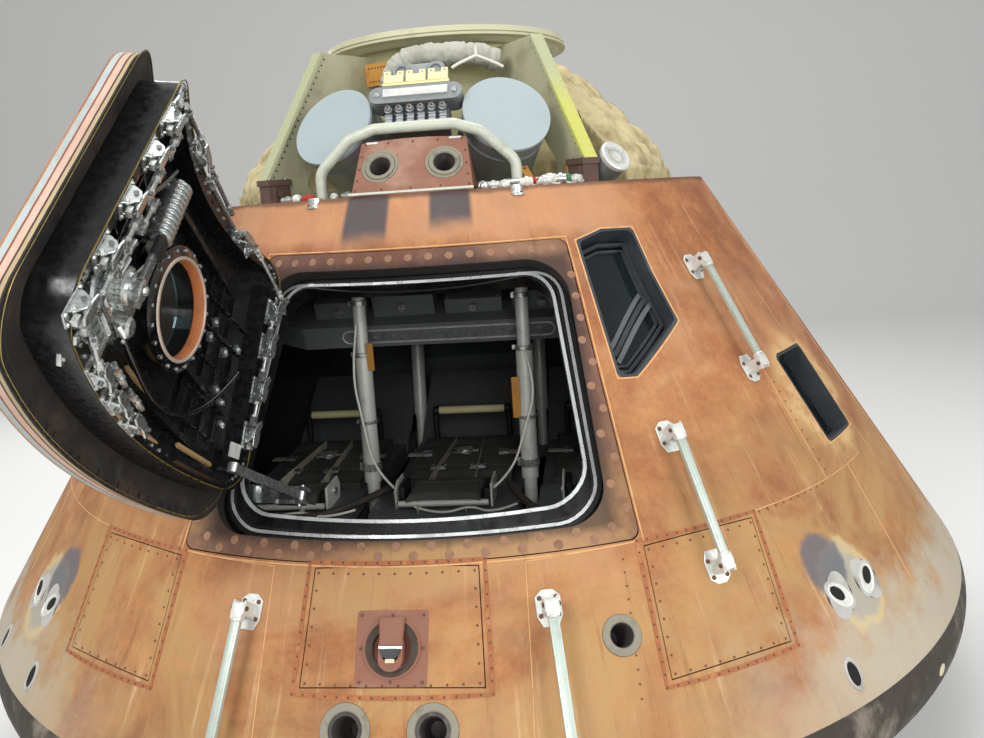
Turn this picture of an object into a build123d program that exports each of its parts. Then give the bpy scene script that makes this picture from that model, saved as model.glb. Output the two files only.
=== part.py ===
from build123d import *
import os
from math import atan, cos, degrees, radians, sin, sqrt, tan

os.makedirs("parts", exist_ok=True)

# The capsule stands on its dished heat shield. Z is its axis, the hatch faces -Y.
# az is the angle round the axis in degrees, from -Y towards +X.
# depth is measured into the wall, square to the cone's surface.

# Outer mould line
max_radius = 1955.8
dish_radius = 4693.9
edge_radius = 195.6
cone_angle = 33.0
seam_height = 637.0
shield_thickness = 50.0
seat_gap = 0.3

# Pressure hull
hull_depth = 100.0
hull_thickness = 30.0
hull_knuckle_height = 1100.0
hull_floor_height = 470.0
hull_top_height = 2010.0
deck_thickness = 30.0
deck_height = hull_top_height + deck_thickness
rim_height = deck_height + 26.0
aft_frame_height = 600.0
aft_frame_thickness = 30.0

# Side hatchway: heights on the outer surface, half widths across it
hatch_top = 1850.0
hatch_bottom = 1172.0
hatch_half_top = 461.0
hatch_half_bottom = 561.0
hatch_corner = 120.0
hatch_gap = 9.0
surround_top = 1902.0
surround_bottom = 1122.0
surround_half_top = 470.0
surround_half_bottom = 640.0
surround_corner = 30.0
panel_gap = 3.0
panel_lip = 18.0
frame_side_inset = 52.0
frame_top_inset = 22.0
frame_bottom_inset = 76.0
frame_lip = 26.0
frame_depth = 134.0
lining_start = 55.5

# Hatch door
door_plate = 34.0
door_rim_width = 42.0
door_depth = 135.0
door_window_height = 1532.0
door_window_radius = 118.0
door_window_ring = 34.0
door_pane = 14.0
door_window_sink = 10.0
gear_x = 300.0
gear_y = -120.0
gear_width = 200.0
gear_length = 130.0
bottle_x = 175.0
bottle_y = 180.0
bottle_length = 170.0
hinge_az = -23.0
hinge_rise = 16.0
hinge_lean = 6.5
hinge_pin_radius = 8.0
hinge_knuckle_radius = 13.0
hinge_knuckle_length = 44.0
hinge_side_gap = 1.0
hinge_spots = (-220.0, 220.0)
hinge_arm_width = 60.0
hinge_arm_reach = 175.0
hinge_arm_clearance = 7.5
hinge_arm_thickness = 9.0
hatch_open_angle = 86.0

# Hatch stay: an arm on the lower left corner of the inner frame
stay_spot = -268.0
stay_across = 176.0
stay_drop = 192.0
stay_length = 320.0
stay_width = 24.0
stay_thickness = 14.0
stay_pin_radius = 7.0
stay_cheek = 12.0
stay_side_gap = 2.0
track_rise = 12.0
track_low = 1184.0
track_start = -16.5
track_sweep = 9.5
stay_closed_angle = -14.0
stay_open_angle = 85.0

# Windows in the cone
window_wall = 12.0
pane_thickness = 14.0
side_window_az = 59.0
side_window_height = 1330.0
side_window_width = 252.0
side_window_length = 336.0
side_window_corner = 34.0
rendezvous_corner = 30.0

# Docking tunnel
tunnel_radius = 400.0
tunnel_wall = 30.0
hatch_seat_height = deck_height + 165.0
hatch_seat_radius = 376.0
tunnel_foot = hull_top_height - 50.0
tunnel_top = deck_height + 560.0
cone_top = tunnel_top + 400.0
ring_radius = 488.0
ring_height = 50.0
ring_groove = 8.0
inner_hatch_thickness = 45.0
inner_hatch_gap = 2.5
inner_hatch_height = hatch_seat_height - inner_hatch_gap - inner_hatch_thickness / 2

# Forward compartment
gusset_azimuths = (-36.5, 36.5, 143.5, -143.5)
fitting_length = 96.0
fitting_width = 62.0
fitting_height = 106.0
gusset_thickness = 14.0
gusset_flange = 26.0
gusset_top = tunnel_top - 15.0
engine_box_top = rim_height + 174.0
engine_box_half_top = 170.0
engine_box_half_bottom = 200.0
engine_box_depth = 240.0
forward_nozzle_spread = 103.0
forward_nozzle_height = rim_height + 90.0
nozzle_throat = 20.0
mortar_az = 21.0
mortar_height = rim_height + 256.0
mortar_radius = 147.0
mortar_length = 275.0
mortar_set_back = 30.0
mortar_lid = 12.0
arch_tube_radius = 17.5
arch_half_foot = 322.0
arch_half_shoulder = 215.0
arch_half_crown = 130.0
arch_bend = 55.0
arch_lift = 9.0
arch_crown_height = rim_height + 210.0
arch_shoulder_height = rim_height + 182.0
arch_knee_height = rim_height + 84.0
riser_height = rim_height + 326.0
riser_half_width = 155.0
riser_depth = 70.0
duct_ring = 500.0
duct_radius = 34.0

canister_radius = 54.0
canister_height = rim_height + 80.0

# Handrails
rail_length = 436.0
rail_standoff = 46.0
rail_width = 30.0
rail_thickness = 15.0
rail_foot_length = 92.0
rail_foot_width = 66.0
rail_foot_plate = 6.0
rail_post = 26.0

# Thrusters in the cone
ring_seat = 6.0

# Cabin fittings
couch_pitch = 590.0
couch_width = 520.0
couch_height = 900.0
couch_thickness = 46.0
pad_thickness = 50.0
strut_radius = 24.0
console_half_width = 760.0
console_thickness = 90.0
locker_depth = 330.0
locker_wall = 20.0
locker_top = 1560.0
locker_bend = 1150.0
bay_sweep = 84.0

alpha = radians(cone_angle)
edge_circle_radius = max_radius - edge_radius
edge_circle_height = dish_radius - sqrt((dish_radius - edge_radius) ** 2 - edge_circle_radius ** 2)
tangent_height = edge_circle_height + edge_radius * sin(alpha)
tangent_radius = edge_circle_radius + edge_radius * cos(alpha)
apex_height = tangent_height + tangent_radius / tan(alpha)
hatch_middle = (hatch_top + hatch_bottom) / 2


def cone_radius(height, depth=0.0):
    """Radius of the cone at a height, on the surface that lies depth inside it."""
    return (apex_height - height) * tan(alpha) - depth / cos(alpha)


def cone_plane(az, height, depth=0.0):
    """Plane on the cone: x to the right, y up the slope, z outwards."""
    a = radians(az)
    normal = Vector(cos(alpha) * sin(a), -cos(alpha) * cos(a), sin(alpha))
    radius = cone_radius(height)
    point = Vector(radius * sin(a), -radius * cos(a), height) - normal * depth
    return Plane(origin=point, x_dir=(cos(a), sin(a), 0), z_dir=normal)


def slope(height):
    """Distance up the slope from the middle of the hatchway, on the plane at az 0."""
    return (height - hatch_middle) / cos(alpha)


def spun(face, turn=360):
    """Solid of revolution round the capsule's axis from a face drawn as (radius, height)."""
    return revolve(Plane.XZ * face, axis=Axis.Z, revolution_arc=turn)


def circle_point(centre, radius, angle):
    return (centre[0] + radius * cos(angle), centre[1] + radius * sin(angle))


def arc(centre, radius, start, end):
    points = [circle_point(centre, radius, start + (end - start) * k / 2) for k in range(3)]
    return ThreePointArc(*points)


def edge_at(height, depth=0.0):
    """Radius and angle on the rounded edge at a height."""
    radius = edge_radius - depth
    rise = height - edge_circle_height
    return edge_circle_radius + sqrt(radius ** 2 - rise ** 2), atan(rise / sqrt(radius ** 2 - rise ** 2))


def shield_face(low, high, outer_depth, inner_depth):
    """Section of the cone's wall between two heights, with the rounded edge below it."""
    centre = (edge_circle_radius, edge_circle_height)
    sides = []
    for depth in (outer_depth, inner_depth):
        radius, angle = edge_at(low, depth)
        knuckle = circle_point(centre, edge_radius - depth, alpha)
        sides.append((arc(centre, edge_radius - depth, angle, alpha), (radius, low), knuckle,
                      (cone_radius(high, depth), high)))
    (arc_o, low_o, knee_o, top_o), (arc_i, low_i, knee_i, top_i) = sides
    return make_face([arc_o, Line(knee_o, top_o), Line(top_o, top_i), Line(top_i, knee_i), arc_i,
                      Line(low_i, low_o)])


def trapezium(top, bottom, half_top, half_bottom, corner, grow=0.0):
    """Panel outline on the plane at az 0, its top and bottom edges following level rings."""
    rises = []
    for height, half in ((top, half_top), (bottom, half_bottom)):
        radius = cone_radius(height)
        rises.append((radius - sqrt(radius ** 2 - half ** 2)) * sin(alpha))
    high, low = slope(top) + grow, slope(bottom) - grow
    wide, wider = half_top + grow, half_bottom + grow
    corners = [(-wide, high + rises[0]), (wide, high + rises[0]), (wider, low + rises[1]),
               (-wider, low + rises[1])]
    face = make_face([ThreePointArc(corners[0], (0, high), corners[1]), Line(corners[1], corners[2]),
                      ThreePointArc(corners[2], (0, low), corners[3]), Line(corners[3], corners[0])])
    return fillet(face.vertices(), corner)


def hatch_outline(grow=0.0):
    return trapezium(hatch_top, hatch_bottom, hatch_half_top, hatch_half_bottom,
                     hatch_corner + grow, grow)


def frame_outline(grow=0.0):
    """The clear way through the inner frame, tighter at the sill than at the head."""
    return trapezium(hatch_top - frame_top_inset * cos(alpha),
                     hatch_bottom + frame_bottom_inset * cos(alpha),
                     hatch_half_top - frame_side_inset, hatch_half_bottom - frame_side_inset,
                     hatch_corner - 20 + grow, grow)


def through(face, plane, outwards=60.0, inwards=260.0):
    """A cutter or blank square to the wall, from outside the surface to inside it."""
    return extrude(plane.offset(-inwards) * face, amount=outwards + inwards)


def mirrored(shape):
    return mirror(shape, about=Plane.YZ)


def box_on(plane, width, length, low, high, x=0.0, y=0.0):
    """Block on a plane, between two heights above it."""
    return plane * Pos(x, y, (low + high) / 2) * Box(width, length, high - low)


def save(shape, name):
    export_step(shape, f"parts/{name}.step")


front = cone_plane(0, hatch_middle)
outer_cone = spun(make_face(Polyline((0, 0), (cone_radius(0), 0), (cone_radius(cone_top), cone_top), (0, cone_top),
                                     close=True)))

# Dished aft heat shield
dish_centre = (0, dish_radius)
edge_centre = (edge_circle_radius, edge_circle_height)
dish_end = -atan((dish_radius - edge_circle_height) / edge_circle_radius)
aft_edges = []
for depth in (0.0, shield_thickness):
    radius, angle = edge_at(seam_height, depth)
    aft_edges.append([arc(dish_centre, dish_radius - depth, radians(-90), dish_end),
                      arc(edge_centre, edge_radius - depth, dish_end, angle)])
seam_radii = [edge_at(seam_height, depth)[0] for depth in (0.0, shield_thickness)]
aft_face = make_face([*aft_edges[0], Line((seam_radii[0], seam_height), (seam_radii[1], seam_height)),
                      *aft_edges[1], Line((0, 0), (0, shield_thickness))])
save(spun(aft_face), "aft_heat_shield")

# Cone shield, with the openings that its panels and windows fill
shield = spun(shield_face(seam_height, rim_height, 0, shield_thickness))
wall_only = spun(shield_face(seam_height, rim_height, 0, shield_thickness))
lip_zone = spun(shield_face(seam_height, rim_height, shield_thickness - panel_lip, shield_thickness))

surround = trapezium(surround_top, surround_bottom, surround_half_top, surround_half_bottom,
                     surround_corner)
surround_blank = trapezium(surround_top, surround_bottom, surround_half_top, surround_half_bottom,
                           surround_corner, -panel_gap)
shield -= through(surround, front)
save((wall_only & through(surround_blank, front)) - through(hatch_outline(), front), "hatch_surround")

# Rendezvous window: az and height of its corners on the outer surface, right-hand side
rendezvous_corners = ((26.3, 1893), (31.5, 1921), (37.9, 1917), (37.8, 1780), (38.4, 1628),
                      (28.7, 1499), (26.0, 1503))
window_plane = cone_plane(32.0, 1725.0)
side_plane = cone_plane(side_window_az, side_window_height)


def on_window_plane(az, height):
    point = window_plane.to_local_coords(cone_plane(az, height).origin)
    return (point.X, point.Y)


def rendezvous_outline(grow=0.0):
    face = make_face(Polyline(*[on_window_plane(az, height) for az, height in rendezvous_corners],
                              close=True))
    face = offset(face, amount=grow) if grow else face
    return fillet(face.vertices(), rendezvous_corner + min(grow, 0) * 0.5)


def side_outline(grow=0.0):
    return RectangleRounded(side_window_width + 2 * grow, side_window_length + 2 * grow,
                            max(side_window_corner + grow, 12))


windows = ((window_plane, rendezvous_outline), (side_plane, side_outline))
frames = []
panes = []
hull_cutters = []
for plane, outline in windows:
    hole = through(outline(), plane)
    shield -= hole
    shield -= mirrored(hole)
    # A lined recess runs from the skin to the hull, with a ledge that carries the pane
    lining = (through(outline(-seat_gap), plane, 0, hull_depth + 40)
              - through(outline(-window_wall), plane, 1, hull_depth + 41))
    ledge = (through(outline(-window_wall), plane, -hull_depth + 12, hull_depth + 40)
             - through(outline(-window_wall - 22), plane, 0, hull_depth + 41))
    frame = (lining + ledge) & outer_cone
    pane = through(outline(-window_wall - 1), plane, -hull_depth + 12 + pane_thickness + 1, hull_depth - 13)
    frames += [frame, mirrored(frame)]
    panes += [pane, mirrored(pane)]
    hull_cutters += [hole, mirrored(hole)]

# Thruster mouths let into the cone: az, height, ring radius, mouth radius
thrusters = ((-3.4, 787.0, 64.0, 34.0), (3.4, 787.0, 64.0, 34.0),
             (-42.2, 866.0, 56.0, 36.0), (-46.9, 866.0, 56.0, 36.0),
             (42.2, 866.0, 56.0, 36.0), (46.9, 866.0, 56.0, 36.0),
             (-88.0, 866.0, 56.0, 36.0), (-92.0, 866.0, 56.0, 36.0),
             (88.0, 866.0, 56.0, 36.0), (92.0, 866.0, 56.0, 36.0),
             (176.6, 787.0, 64.0, 34.0), (183.4, 787.0, 64.0, 34.0),
             (137.8, 866.0, 56.0, 36.0), (133.1, 866.0, 56.0, 36.0),
             (-137.8, 866.0, 56.0, 36.0), (-133.1, 866.0, 56.0, 36.0))
cup_depth = 120.0
cup_wall = 8.0


def thruster_cup(az, height, ring, mouth):
    """Flared cup with a flange that fills the hole in the wall."""
    outline = make_face(Polyline((nozzle_throat, -cup_depth), (nozzle_throat + cup_wall, -cup_depth),
                                 (mouth + cup_wall, -shield_thickness), (ring, -shield_thickness),
                                 (ring, ring_seat), (mouth, 0), (nozzle_throat, -cup_depth + 12),
                                 close=True))
    cup = revolve(Plane.XZ * outline, axis=Axis.Z)
    floor = Pos(0, 0, -cup_depth + cup_wall / 2) * Cylinder(nozzle_throat + 1, cup_wall)
    return Rot(0, 0, az) * ((cone_plane(0, height) * (cup + floor)) & outer_cone)


cups = []
for az, height, ring, mouth in thrusters:
    plane = cone_plane(az, height)
    shield -= through(Circle(ring + seat_gap), plane, 30, 90)
    cups.append(thruster_cup(az, height, ring, mouth))

# Access panels: az of the two sides at the top and at the bottom, heights
panel_table = ((-7.7, 7.7, 1112.0, -7.6, 7.6, 862.0), (23.2, 36.0, 1106.0, 22.4, 34.4, 822.0),
               (-36.0, -23.2, 1106.0, -34.4, -22.4, 822.0))
panels = []
for left_top, right_top, top, left_low, right_low, low in panel_table:
    middle_az = (left_top + right_top) / 2
    plane = cone_plane(middle_az, (top + low) / 2)
    corners = [plane.to_local_coords(cone_plane(az, height).origin) for az, height in
               ((left_top, top), (right_top, top), (right_low, low), (left_low, low))]
    outline = make_face(Polyline(*[(point.X, point.Y) for point in corners], close=True))
    hole = through(outline, plane, 30, 90)
    panel = wall_only & through(offset(outline, amount=-panel_gap), plane, 30, 90)
    panel += lip_zone & through(offset(outline, amount=-seat_gap), plane, 30, 90)
    panels.append(panel)
    shield -= hole

# Round overboard port, and the steam vent on the middle panel
port_place = (19.2, 930.0)
port_radius = 52.0
shield -= through(Circle(port_radius + seat_gap), cone_plane(*port_place), 30, 90)
port = thruster_cup(*port_place, port_radius, 30.0)

vent_plane = cone_plane(0, 948.0)
vent_size = 184.0
vent_bowl = 62.0
vent_hole = through(RectangleRounded(vent_size, vent_size, 8), vent_plane, 30, 90)
panels[0] -= vent_hole
vent_block = (through(RectangleRounded(vent_size - 2 * seat_gap, vent_size - 2 * seat_gap, 8), vent_plane, 30,
                      shield_thickness) & outer_cone)
bowl = vent_plane * Pos(0, 6, 26) * Sphere(vent_bowl)
scoop_outer = extrude(vent_plane.offset(-40) * Pos(0, -8) * SlotOverall(96, 62, rotation=90), amount=54)
scoop_inner = extrude(vent_plane.offset(-30) * Pos(0, 10) * SlotOverall(90, 44, rotation=90), amount=60)
vent = (vent_block - bowl) + (scoop_outer - scoop_inner)
save(vent, "steam_vent")
save(Compound(children=panels), "access_panels")
save(Compound(children=[*cups, port]), "thruster_cups")
save(shield, "cone_heat_shield")
save(Compound(children=frames), "window_frames")
save(Compound(children=panes), "window_panes")

# Pressure hull with its floor and the ring that joins it to the aft shield
hull_radius = cone_radius(hull_knuckle_height, hull_depth)
hull_inner_radius = hull_radius - hull_thickness
inner_knuckle = apex_height - (hull_inner_radius + (hull_depth + hull_thickness) / cos(alpha)) / tan(alpha)
ring_outer = edge_at(aft_frame_height + aft_frame_thickness, shield_thickness)[0] - seat_gap
hull_face = make_face(Polyline(
    (0, hull_floor_height), (hull_radius, hull_floor_height), (hull_radius, aft_frame_height),
    (ring_outer, aft_frame_height), (ring_outer, aft_frame_height + aft_frame_thickness),
    (hull_radius, aft_frame_height + aft_frame_thickness), (hull_radius, hull_knuckle_height),
    (cone_radius(hull_top_height, hull_depth), hull_top_height),
    (cone_radius(hull_top_height, hull_depth + hull_thickness), hull_top_height),
    (hull_inner_radius, inner_knuckle), (hull_inner_radius, hull_floor_height + hull_thickness),
    (0, hull_floor_height + hull_thickness), close=True))
hull = spun(hull_face) - through(hatch_outline(seat_gap), front)
for cutter in hull_cutters:
    hull -= cutter
save(hull, "pressure_hull")

# Hatchway lining with the sealing frame at its inner end
lining = through(hatch_outline(), front, 60, 175) - through(hatch_outline(-frame_lip), front, 61, 176)
step = through(hatch_outline(-1), front, 4 - hull_depth, 175) - through(frame_outline(), front, 0, 176)
lining_zone = spun(make_face(Polyline(
    (cone_radius(hatch_bottom - 200, lining_start), hatch_bottom - 200),
    (cone_radius(hatch_top + 200, lining_start), hatch_top + 200),
    (cone_radius(hatch_top + 200, frame_depth), hatch_top + 200),
    (cone_radius(hatch_bottom - 200, frame_depth), hatch_bottom - 200), close=True)))
hatch_frame = (lining + step) & lining_zone
save(hatch_frame, "hatch_frame")

# Forward deck, docking tunnel and the ring on its top
deck_face = make_face(Polyline(
    (tunnel_radius + seat_gap, hull_top_height), (cone_radius(hull_top_height, shield_thickness) - seat_gap,
                                                  hull_top_height),
    (cone_radius(deck_height, shield_thickness) - seat_gap, deck_height),
    (tunnel_radius + seat_gap, deck_height), close=True))
save(spun(deck_face), "forward_deck")
tunnel_bore = tunnel_radius - tunnel_wall
tunnel = spun(make_face(Polyline((hatch_seat_radius, tunnel_foot), (tunnel_radius, tunnel_foot),
                                 (tunnel_radius, tunnel_top), (tunnel_bore, tunnel_top),
                                 (tunnel_bore, hatch_seat_height), (hatch_seat_radius, hatch_seat_height),
                                 close=True)))
save(tunnel, "docking_tunnel")
ring_mid = tunnel_top + ring_height / 2
ring_face = make_face(Polyline(
    (tunnel_bore, tunnel_top), (tunnel_radius + 34, tunnel_top), (ring_radius - 26, ring_mid - 12),
    (ring_radius, ring_mid - 8), (ring_radius, ring_mid), (ring_radius - ring_groove, ring_mid),
    (ring_radius - ring_groove, ring_mid + 5), (ring_radius - 2, ring_mid + 5),
    (ring_radius - 6, tunnel_top + ring_height), (tunnel_bore, tunnel_top + ring_height), close=True))
save(spun(ring_face), "tunnel_ring")
lid_radius = hatch_seat_radius - seat_gap
inner_hatch = Pos(0, 0, inner_hatch_height) * Cylinder(lid_radius, inner_hatch_thickness)
inner_hatch -= Pos(0, 0, inner_hatch_height + 14) * (Cylinder(lid_radius - 40, inner_hatch_thickness - 18)
                                                     - Cylinder(120, inner_hatch_thickness - 18))
save(inner_hatch, "tunnel_hatch")

# Gussets that quarter the forward compartment
gussets = []
foot_radius = cone_radius(rim_height, shield_thickness) - 4
gusset_heel = deck_height + fitting_height
for az in gusset_azimuths:
    outline = make_face(Polyline((tunnel_radius + seat_gap, deck_height),
                                 (foot_radius - fitting_length - 10, deck_height),
                                 (foot_radius - fitting_length - 10, gusset_heel),
                                 (cone_radius(gusset_heel, 12), gusset_heel),
                                 (cone_radius(gusset_top, 12), gusset_top),
                                 (tunnel_radius + seat_gap, gusset_top), close=True))
    window = make_face(Polyline((tunnel_radius + 60, deck_height + 60), (foot_radius - 150, deck_height + 60),
                                (tunnel_radius + 150, gusset_top - 190), (tunnel_radius + 60, gusset_top - 160),
                                close=True))
    web = extrude(Plane.XZ * (outline - fillet(window.vertices(), 30)), amount=gusset_thickness / 2, both=True)
    flange = extrude(Plane.XZ * make_face(Polyline(
        (cone_radius(gusset_heel, 12), gusset_heel), (cone_radius(gusset_top, 12), gusset_top),
        (cone_radius(gusset_top, 24), gusset_top), (cone_radius(gusset_heel, 24), gusset_heel), close=True)),
        amount=gusset_flange, both=True)
    gussets.append(Rot(0, 0, az - 90) * (web + flange))
save(Compound(children=gussets), "forward_gussets")

# Block fittings at the feet of the gussets, where the nose cover was held
fittings = []
for az in gusset_azimuths:
    place = Rot(0, 0, az - 90) * Pos(foot_radius - fitting_length / 2 - 2, 0, deck_height)
    head_height = 20.0
    body_height = fitting_height - head_height
    body = Pos(0, 0, body_height / 2) * Box(fitting_length - 12, fitting_width, body_height)
    head = Pos(0, 0, fitting_height - head_height / 2) * Box(fitting_length, fitting_width + 10, head_height)
    bore = Pos(20, 0, fitting_height / 2) * Cylinder(16, fitting_height + 2)
    fittings.append(place * (body + head - bore))
save(Compound(children=fittings), "apex_fittings")

# Pitch engine housing between the front gussets
box_low = slope(deck_height) - 10
box_high = slope(engine_box_top)
engine_face = make_face(Polyline((-engine_box_half_top, box_high), (engine_box_half_top, box_high),
                                 (engine_box_half_bottom, box_low), (-engine_box_half_bottom, box_low),
                                 close=True))
above_deck = (Pos(0, 0, (deck_height + cone_top) / 2)
              * Box(max_radius * 2, max_radius * 2, cone_top - deck_height))
rim_zone = spun(make_face(Polyline(
    (cone_radius(hull_top_height, -5), hull_top_height), (cone_radius(rim_height + seat_gap, -5), rim_height + seat_gap),
    (cone_radius(rim_height + seat_gap, shield_thickness + 1), rim_height + seat_gap),
    (cone_radius(hull_top_height, shield_thickness + 1), hull_top_height), close=True)))
housing = (through(engine_face, front, 30, engine_box_depth) & outer_cone & above_deck) - rim_zone
for side in (-1, 1):
    housing -= cone_plane(side * mortar_az, mortar_height) * Pos(0, 0, -200) * Cylinder(mortar_radius + 1, 420)
forward_cups = []
for side in (-1, 1):
    az = degrees(side * forward_nozzle_spread / cone_radius(forward_nozzle_height))
    plane = cone_plane(az, forward_nozzle_height)
    housing -= plane * Pos(0, 0, -60) * Cylinder(50 + seat_gap, 200)
    cup_outline = make_face(Polyline((16, -105), (24, -105), (50, -60), (50, 3), (38, 4), (34, 0), (16, -95),
                                     close=True))
    cup = revolve(Plane.XZ * cup_outline, axis=Axis.Z) + Pos(0, 0, -101) * Cylinder(17, 8)
    forward_cups.append((plane * cup) & outer_cone)
save(housing, "pitch_engine_housing")
save(Compound(children=forward_cups), "forward_nozzles")

# Drogue mortars with plain domed lids
mortar_tubes = []
mortar_lids = []
tunnel_room = (Pos(0, 0, (tunnel_foot + tunnel_top) / 2)
               * Cylinder(tunnel_radius + seat_gap, tunnel_top - tunnel_foot + 60))
for side in (-1, 1):
    plane = cone_plane(side * mortar_az, mortar_height)
    tube_top = -mortar_set_back - mortar_lid
    tube = plane * Pos(0, 0, tube_top - mortar_length / 2) * Cylinder(mortar_radius - 5, mortar_length)
    tube -= plane * Pos(0, 0, tube_top - 50) * (Cylinder(mortar_radius + 1, 18) - Cylinder(mortar_radius - 10, 18))
    mortar_tubes.append((tube & above_deck) - tunnel_room)
    mortar_lids.append(plane * Pos(0, 0, -mortar_set_back - mortar_lid / 2)
                       * Cylinder(mortar_radius, mortar_lid))
save(Compound(children=mortar_tubes), "mortar_tubes")
save(Compound(children=mortar_lids), "mortar_lids")

# Arch tube over the pitch engines
def skin_point(x, height, lift=0.0):
    """Point over the cone at a distance x from the middle plane."""
    radius = cone_radius(height, -lift)
    return (x, -sqrt(radius ** 2 - x ** 2), height)


arch_foot_y = skin_point(arch_half_foot, rim_height, -shield_thickness - arch_tube_radius - 3)[1]
arch_right = [skin_point(arch_half_crown, arch_crown_height, arch_lift),
              skin_point(arch_half_shoulder, arch_shoulder_height, arch_lift),
              (arch_half_foot, arch_foot_y, arch_knee_height), (arch_half_foot, arch_foot_y, deck_height)]
arch_left = [(-x, y, z) for x, y, z in reversed(arch_right)]
arch_points = arch_left + arch_right
arch_path = FilletPolyline(*arch_points, radius=arch_bend)
arch_bar = sweep(Plane(origin=arch_path @ 0, z_dir=arch_path % 0) * Circle(arch_tube_radius), path=arch_path)
save(arch_bar & above_deck, "arch_bar")

# Riser unit between the mortars: a stadium case on a row of capped fittings
riser_plane = cone_plane(0, riser_height, 0)
riser_case = extrude(riser_plane.offset(-riser_depth) * SlotOverall(2 * riser_half_width, 66), amount=riser_depth - 6)
riser_groove = extrude(riser_plane.offset(-30) * (SlotOverall(2 * riser_half_width + 2, 68)
                                                  - SlotOverall(2 * riser_half_width - 12, 54)), amount=6)
riser_back = box_on(riser_plane, 90, 50, -520, -riser_depth)
cream_blocks = [box_on(riser_plane, 52, 44, -riser_depth, -14, x, 54) for x in (-58, 0, 58)]
fitting_row = []
for k in range(6):
    x = 36 * (k - 2.5)
    fitting_row.append(riser_plane * Pos(x, -52, -50) * Cylinder(13, 60))
    fitting_row.append(box_on(riser_plane, 14, 60, -120, -40, x, -84))
fitting_back = box_on(riser_plane, 206, 92, -110, -60, 2, -66)
riser_unit = riser_case - riser_groove + riser_back + fitting_back
for piece in [*cream_blocks, *fitting_row]:
    riser_unit += piece
save((riser_unit & above_deck) - tunnel_room, "riser_unit")

# Wrapped duct that lies round the tunnel below the ring
duct_route = ((-20.0, tunnel_top - 160), (-14.0, tunnel_top - 70), (2.0, tunnel_top - 48),
              (17.0, tunnel_top - 52), (28.0, tunnel_top - 85))


def round_tunnel(az, height, radius):
    a = radians(az)
    return (radius * sin(a), -radius * cos(a), height)


duct_path = FilletPolyline(*[round_tunnel(az, height, duct_ring) for az, height in duct_route], radius=45)
duct = sweep(Plane(origin=duct_path @ 0, z_dir=duct_path % 0) * Circle(duct_radius), path=duct_path)
for az in (-8.0, 14.0):
    saddle = (Pos((tunnel_radius + duct_ring) / 2, 0, tunnel_top - 52)
              * Box(duct_ring - tunnel_radius - 2 * seat_gap, 22, 30))
    duct += Rot(0, 0, az - 90) * saddle
save(duct, "wrapped_duct")

# Packed parachutes, as plain closed bags between the tunnel and the gussets
pack_table = (("left", -138.0, -41.0), ("right", 48.0, 138.0), ("rear", 149.0, 211.0))
for name, start, end in pack_table:
    pack_face = make_face(Polyline((tunnel_radius + 14, deck_height + seat_gap), (foot_radius - 24, deck_height + seat_gap),
                                   (foot_radius - 30, deck_height + 70), (tunnel_radius + 170, tunnel_top - 140),
                                   (tunnel_radius + 90, tunnel_top - 45), (tunnel_radius + 14, tunnel_top - 35),
                                   close=True))
    pack_face = fillet(pack_face.vertices().group_by(Axis.Y)[-1], 30)
    pack = Rot(0, 0, start - 90) * spun(pack_face, end - start)
    save(pack, f"parachute_pack_{name}")

# Pilot mortar canister beside the right gusset
canister_plane = cone_plane(42.2, canister_height)
canister = canister_plane * Pos(0, 0, -86) * Cylinder(canister_radius, 150)
save(canister & above_deck, "pilot_canister")

# Handrails along the cone: az and height of the middle
rail_table = ((46.8, 1615.0), (-46.8, 1615.0), (29.8, 1182.0), (13.4, 850.0), (-13.4, 850.0))
rails = []
for az, height in rail_table:
    plane = cone_plane(az, height)
    bar = box_on(plane, rail_width, rail_length, rail_standoff, rail_standoff + rail_thickness)
    bar = fillet(bar.edges().filter_by(lambda edge: abs(edge.length - rail_length) < 0.01), 4)
    rail = bar
    for end in (-1, 1):
        y = end * (rail_length / 2 - 30)
        rail += box_on(plane, rail_foot_width, rail_foot_length, 0, rail_foot_plate, 0, y)
        rail += box_on(plane, rail_post, 54, 0, rail_standoff + rail_thickness - 1, 0, y)
        rail += box_on(plane, rail_width + 14, 40, rail_standoff - 14, rail_standoff + rail_thickness + 5, 0, y)
    rails.append(rail)
save(Compound(children=rails), "handrails")

# Cabin: three couches on a frame hung from struts, head end towards the hatch
couch_places = (-1, 0, 1)
couches = []
couch_top = couch_height + couch_thickness
head_start = -930.0
for place in couch_places:
    x = place * couch_pitch
    slabs = []
    for start, end, low, high in ((head_start, head_start + 270, couch_height + 40, couch_height + 40),
                                  (head_start + 290, 60, couch_height, couch_height),
                                  (80, 470, couch_height, couch_height + 250)):
        outline = make_face(Polyline((start, low), (end, high), (end, high + couch_thickness),
                                     (start, low + couch_thickness), close=True))
        slab = extrude(Plane.YZ * outline, amount=couch_width / 2, both=True)
        slabs.append(Pos(x, 0, 0) * slab)
    side_beams = [Pos(x + side * (couch_width / 2 - 20), -220, couch_height - 18) * Box(36, 1380, 36)
                  for side in (-1, 1)]
    couch = slabs[0] + slabs[1] + slabs[2] + side_beams[0] + side_beams[1]
    couch += Pos(x, head_start + 135, couch_height + 20) * Box(couch_width - 40, 60, 42)
    couches.append(couch)
save(Compound(children=couches), "couches")
pads = []
for place in couch_places:
    x = place * couch_pitch
    pads.append(Pos(x, head_start + 135, couch_height + 40 + couch_thickness + seat_gap + pad_thickness / 2)
                * Box(300, 220, pad_thickness))
    pads.append(Pos(x, head_start + 640, couch_top + seat_gap + pad_thickness / 2)
                * Box(couch_width - 60, 620, pad_thickness))
save(Compound(children=pads), "couch_pads")

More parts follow.
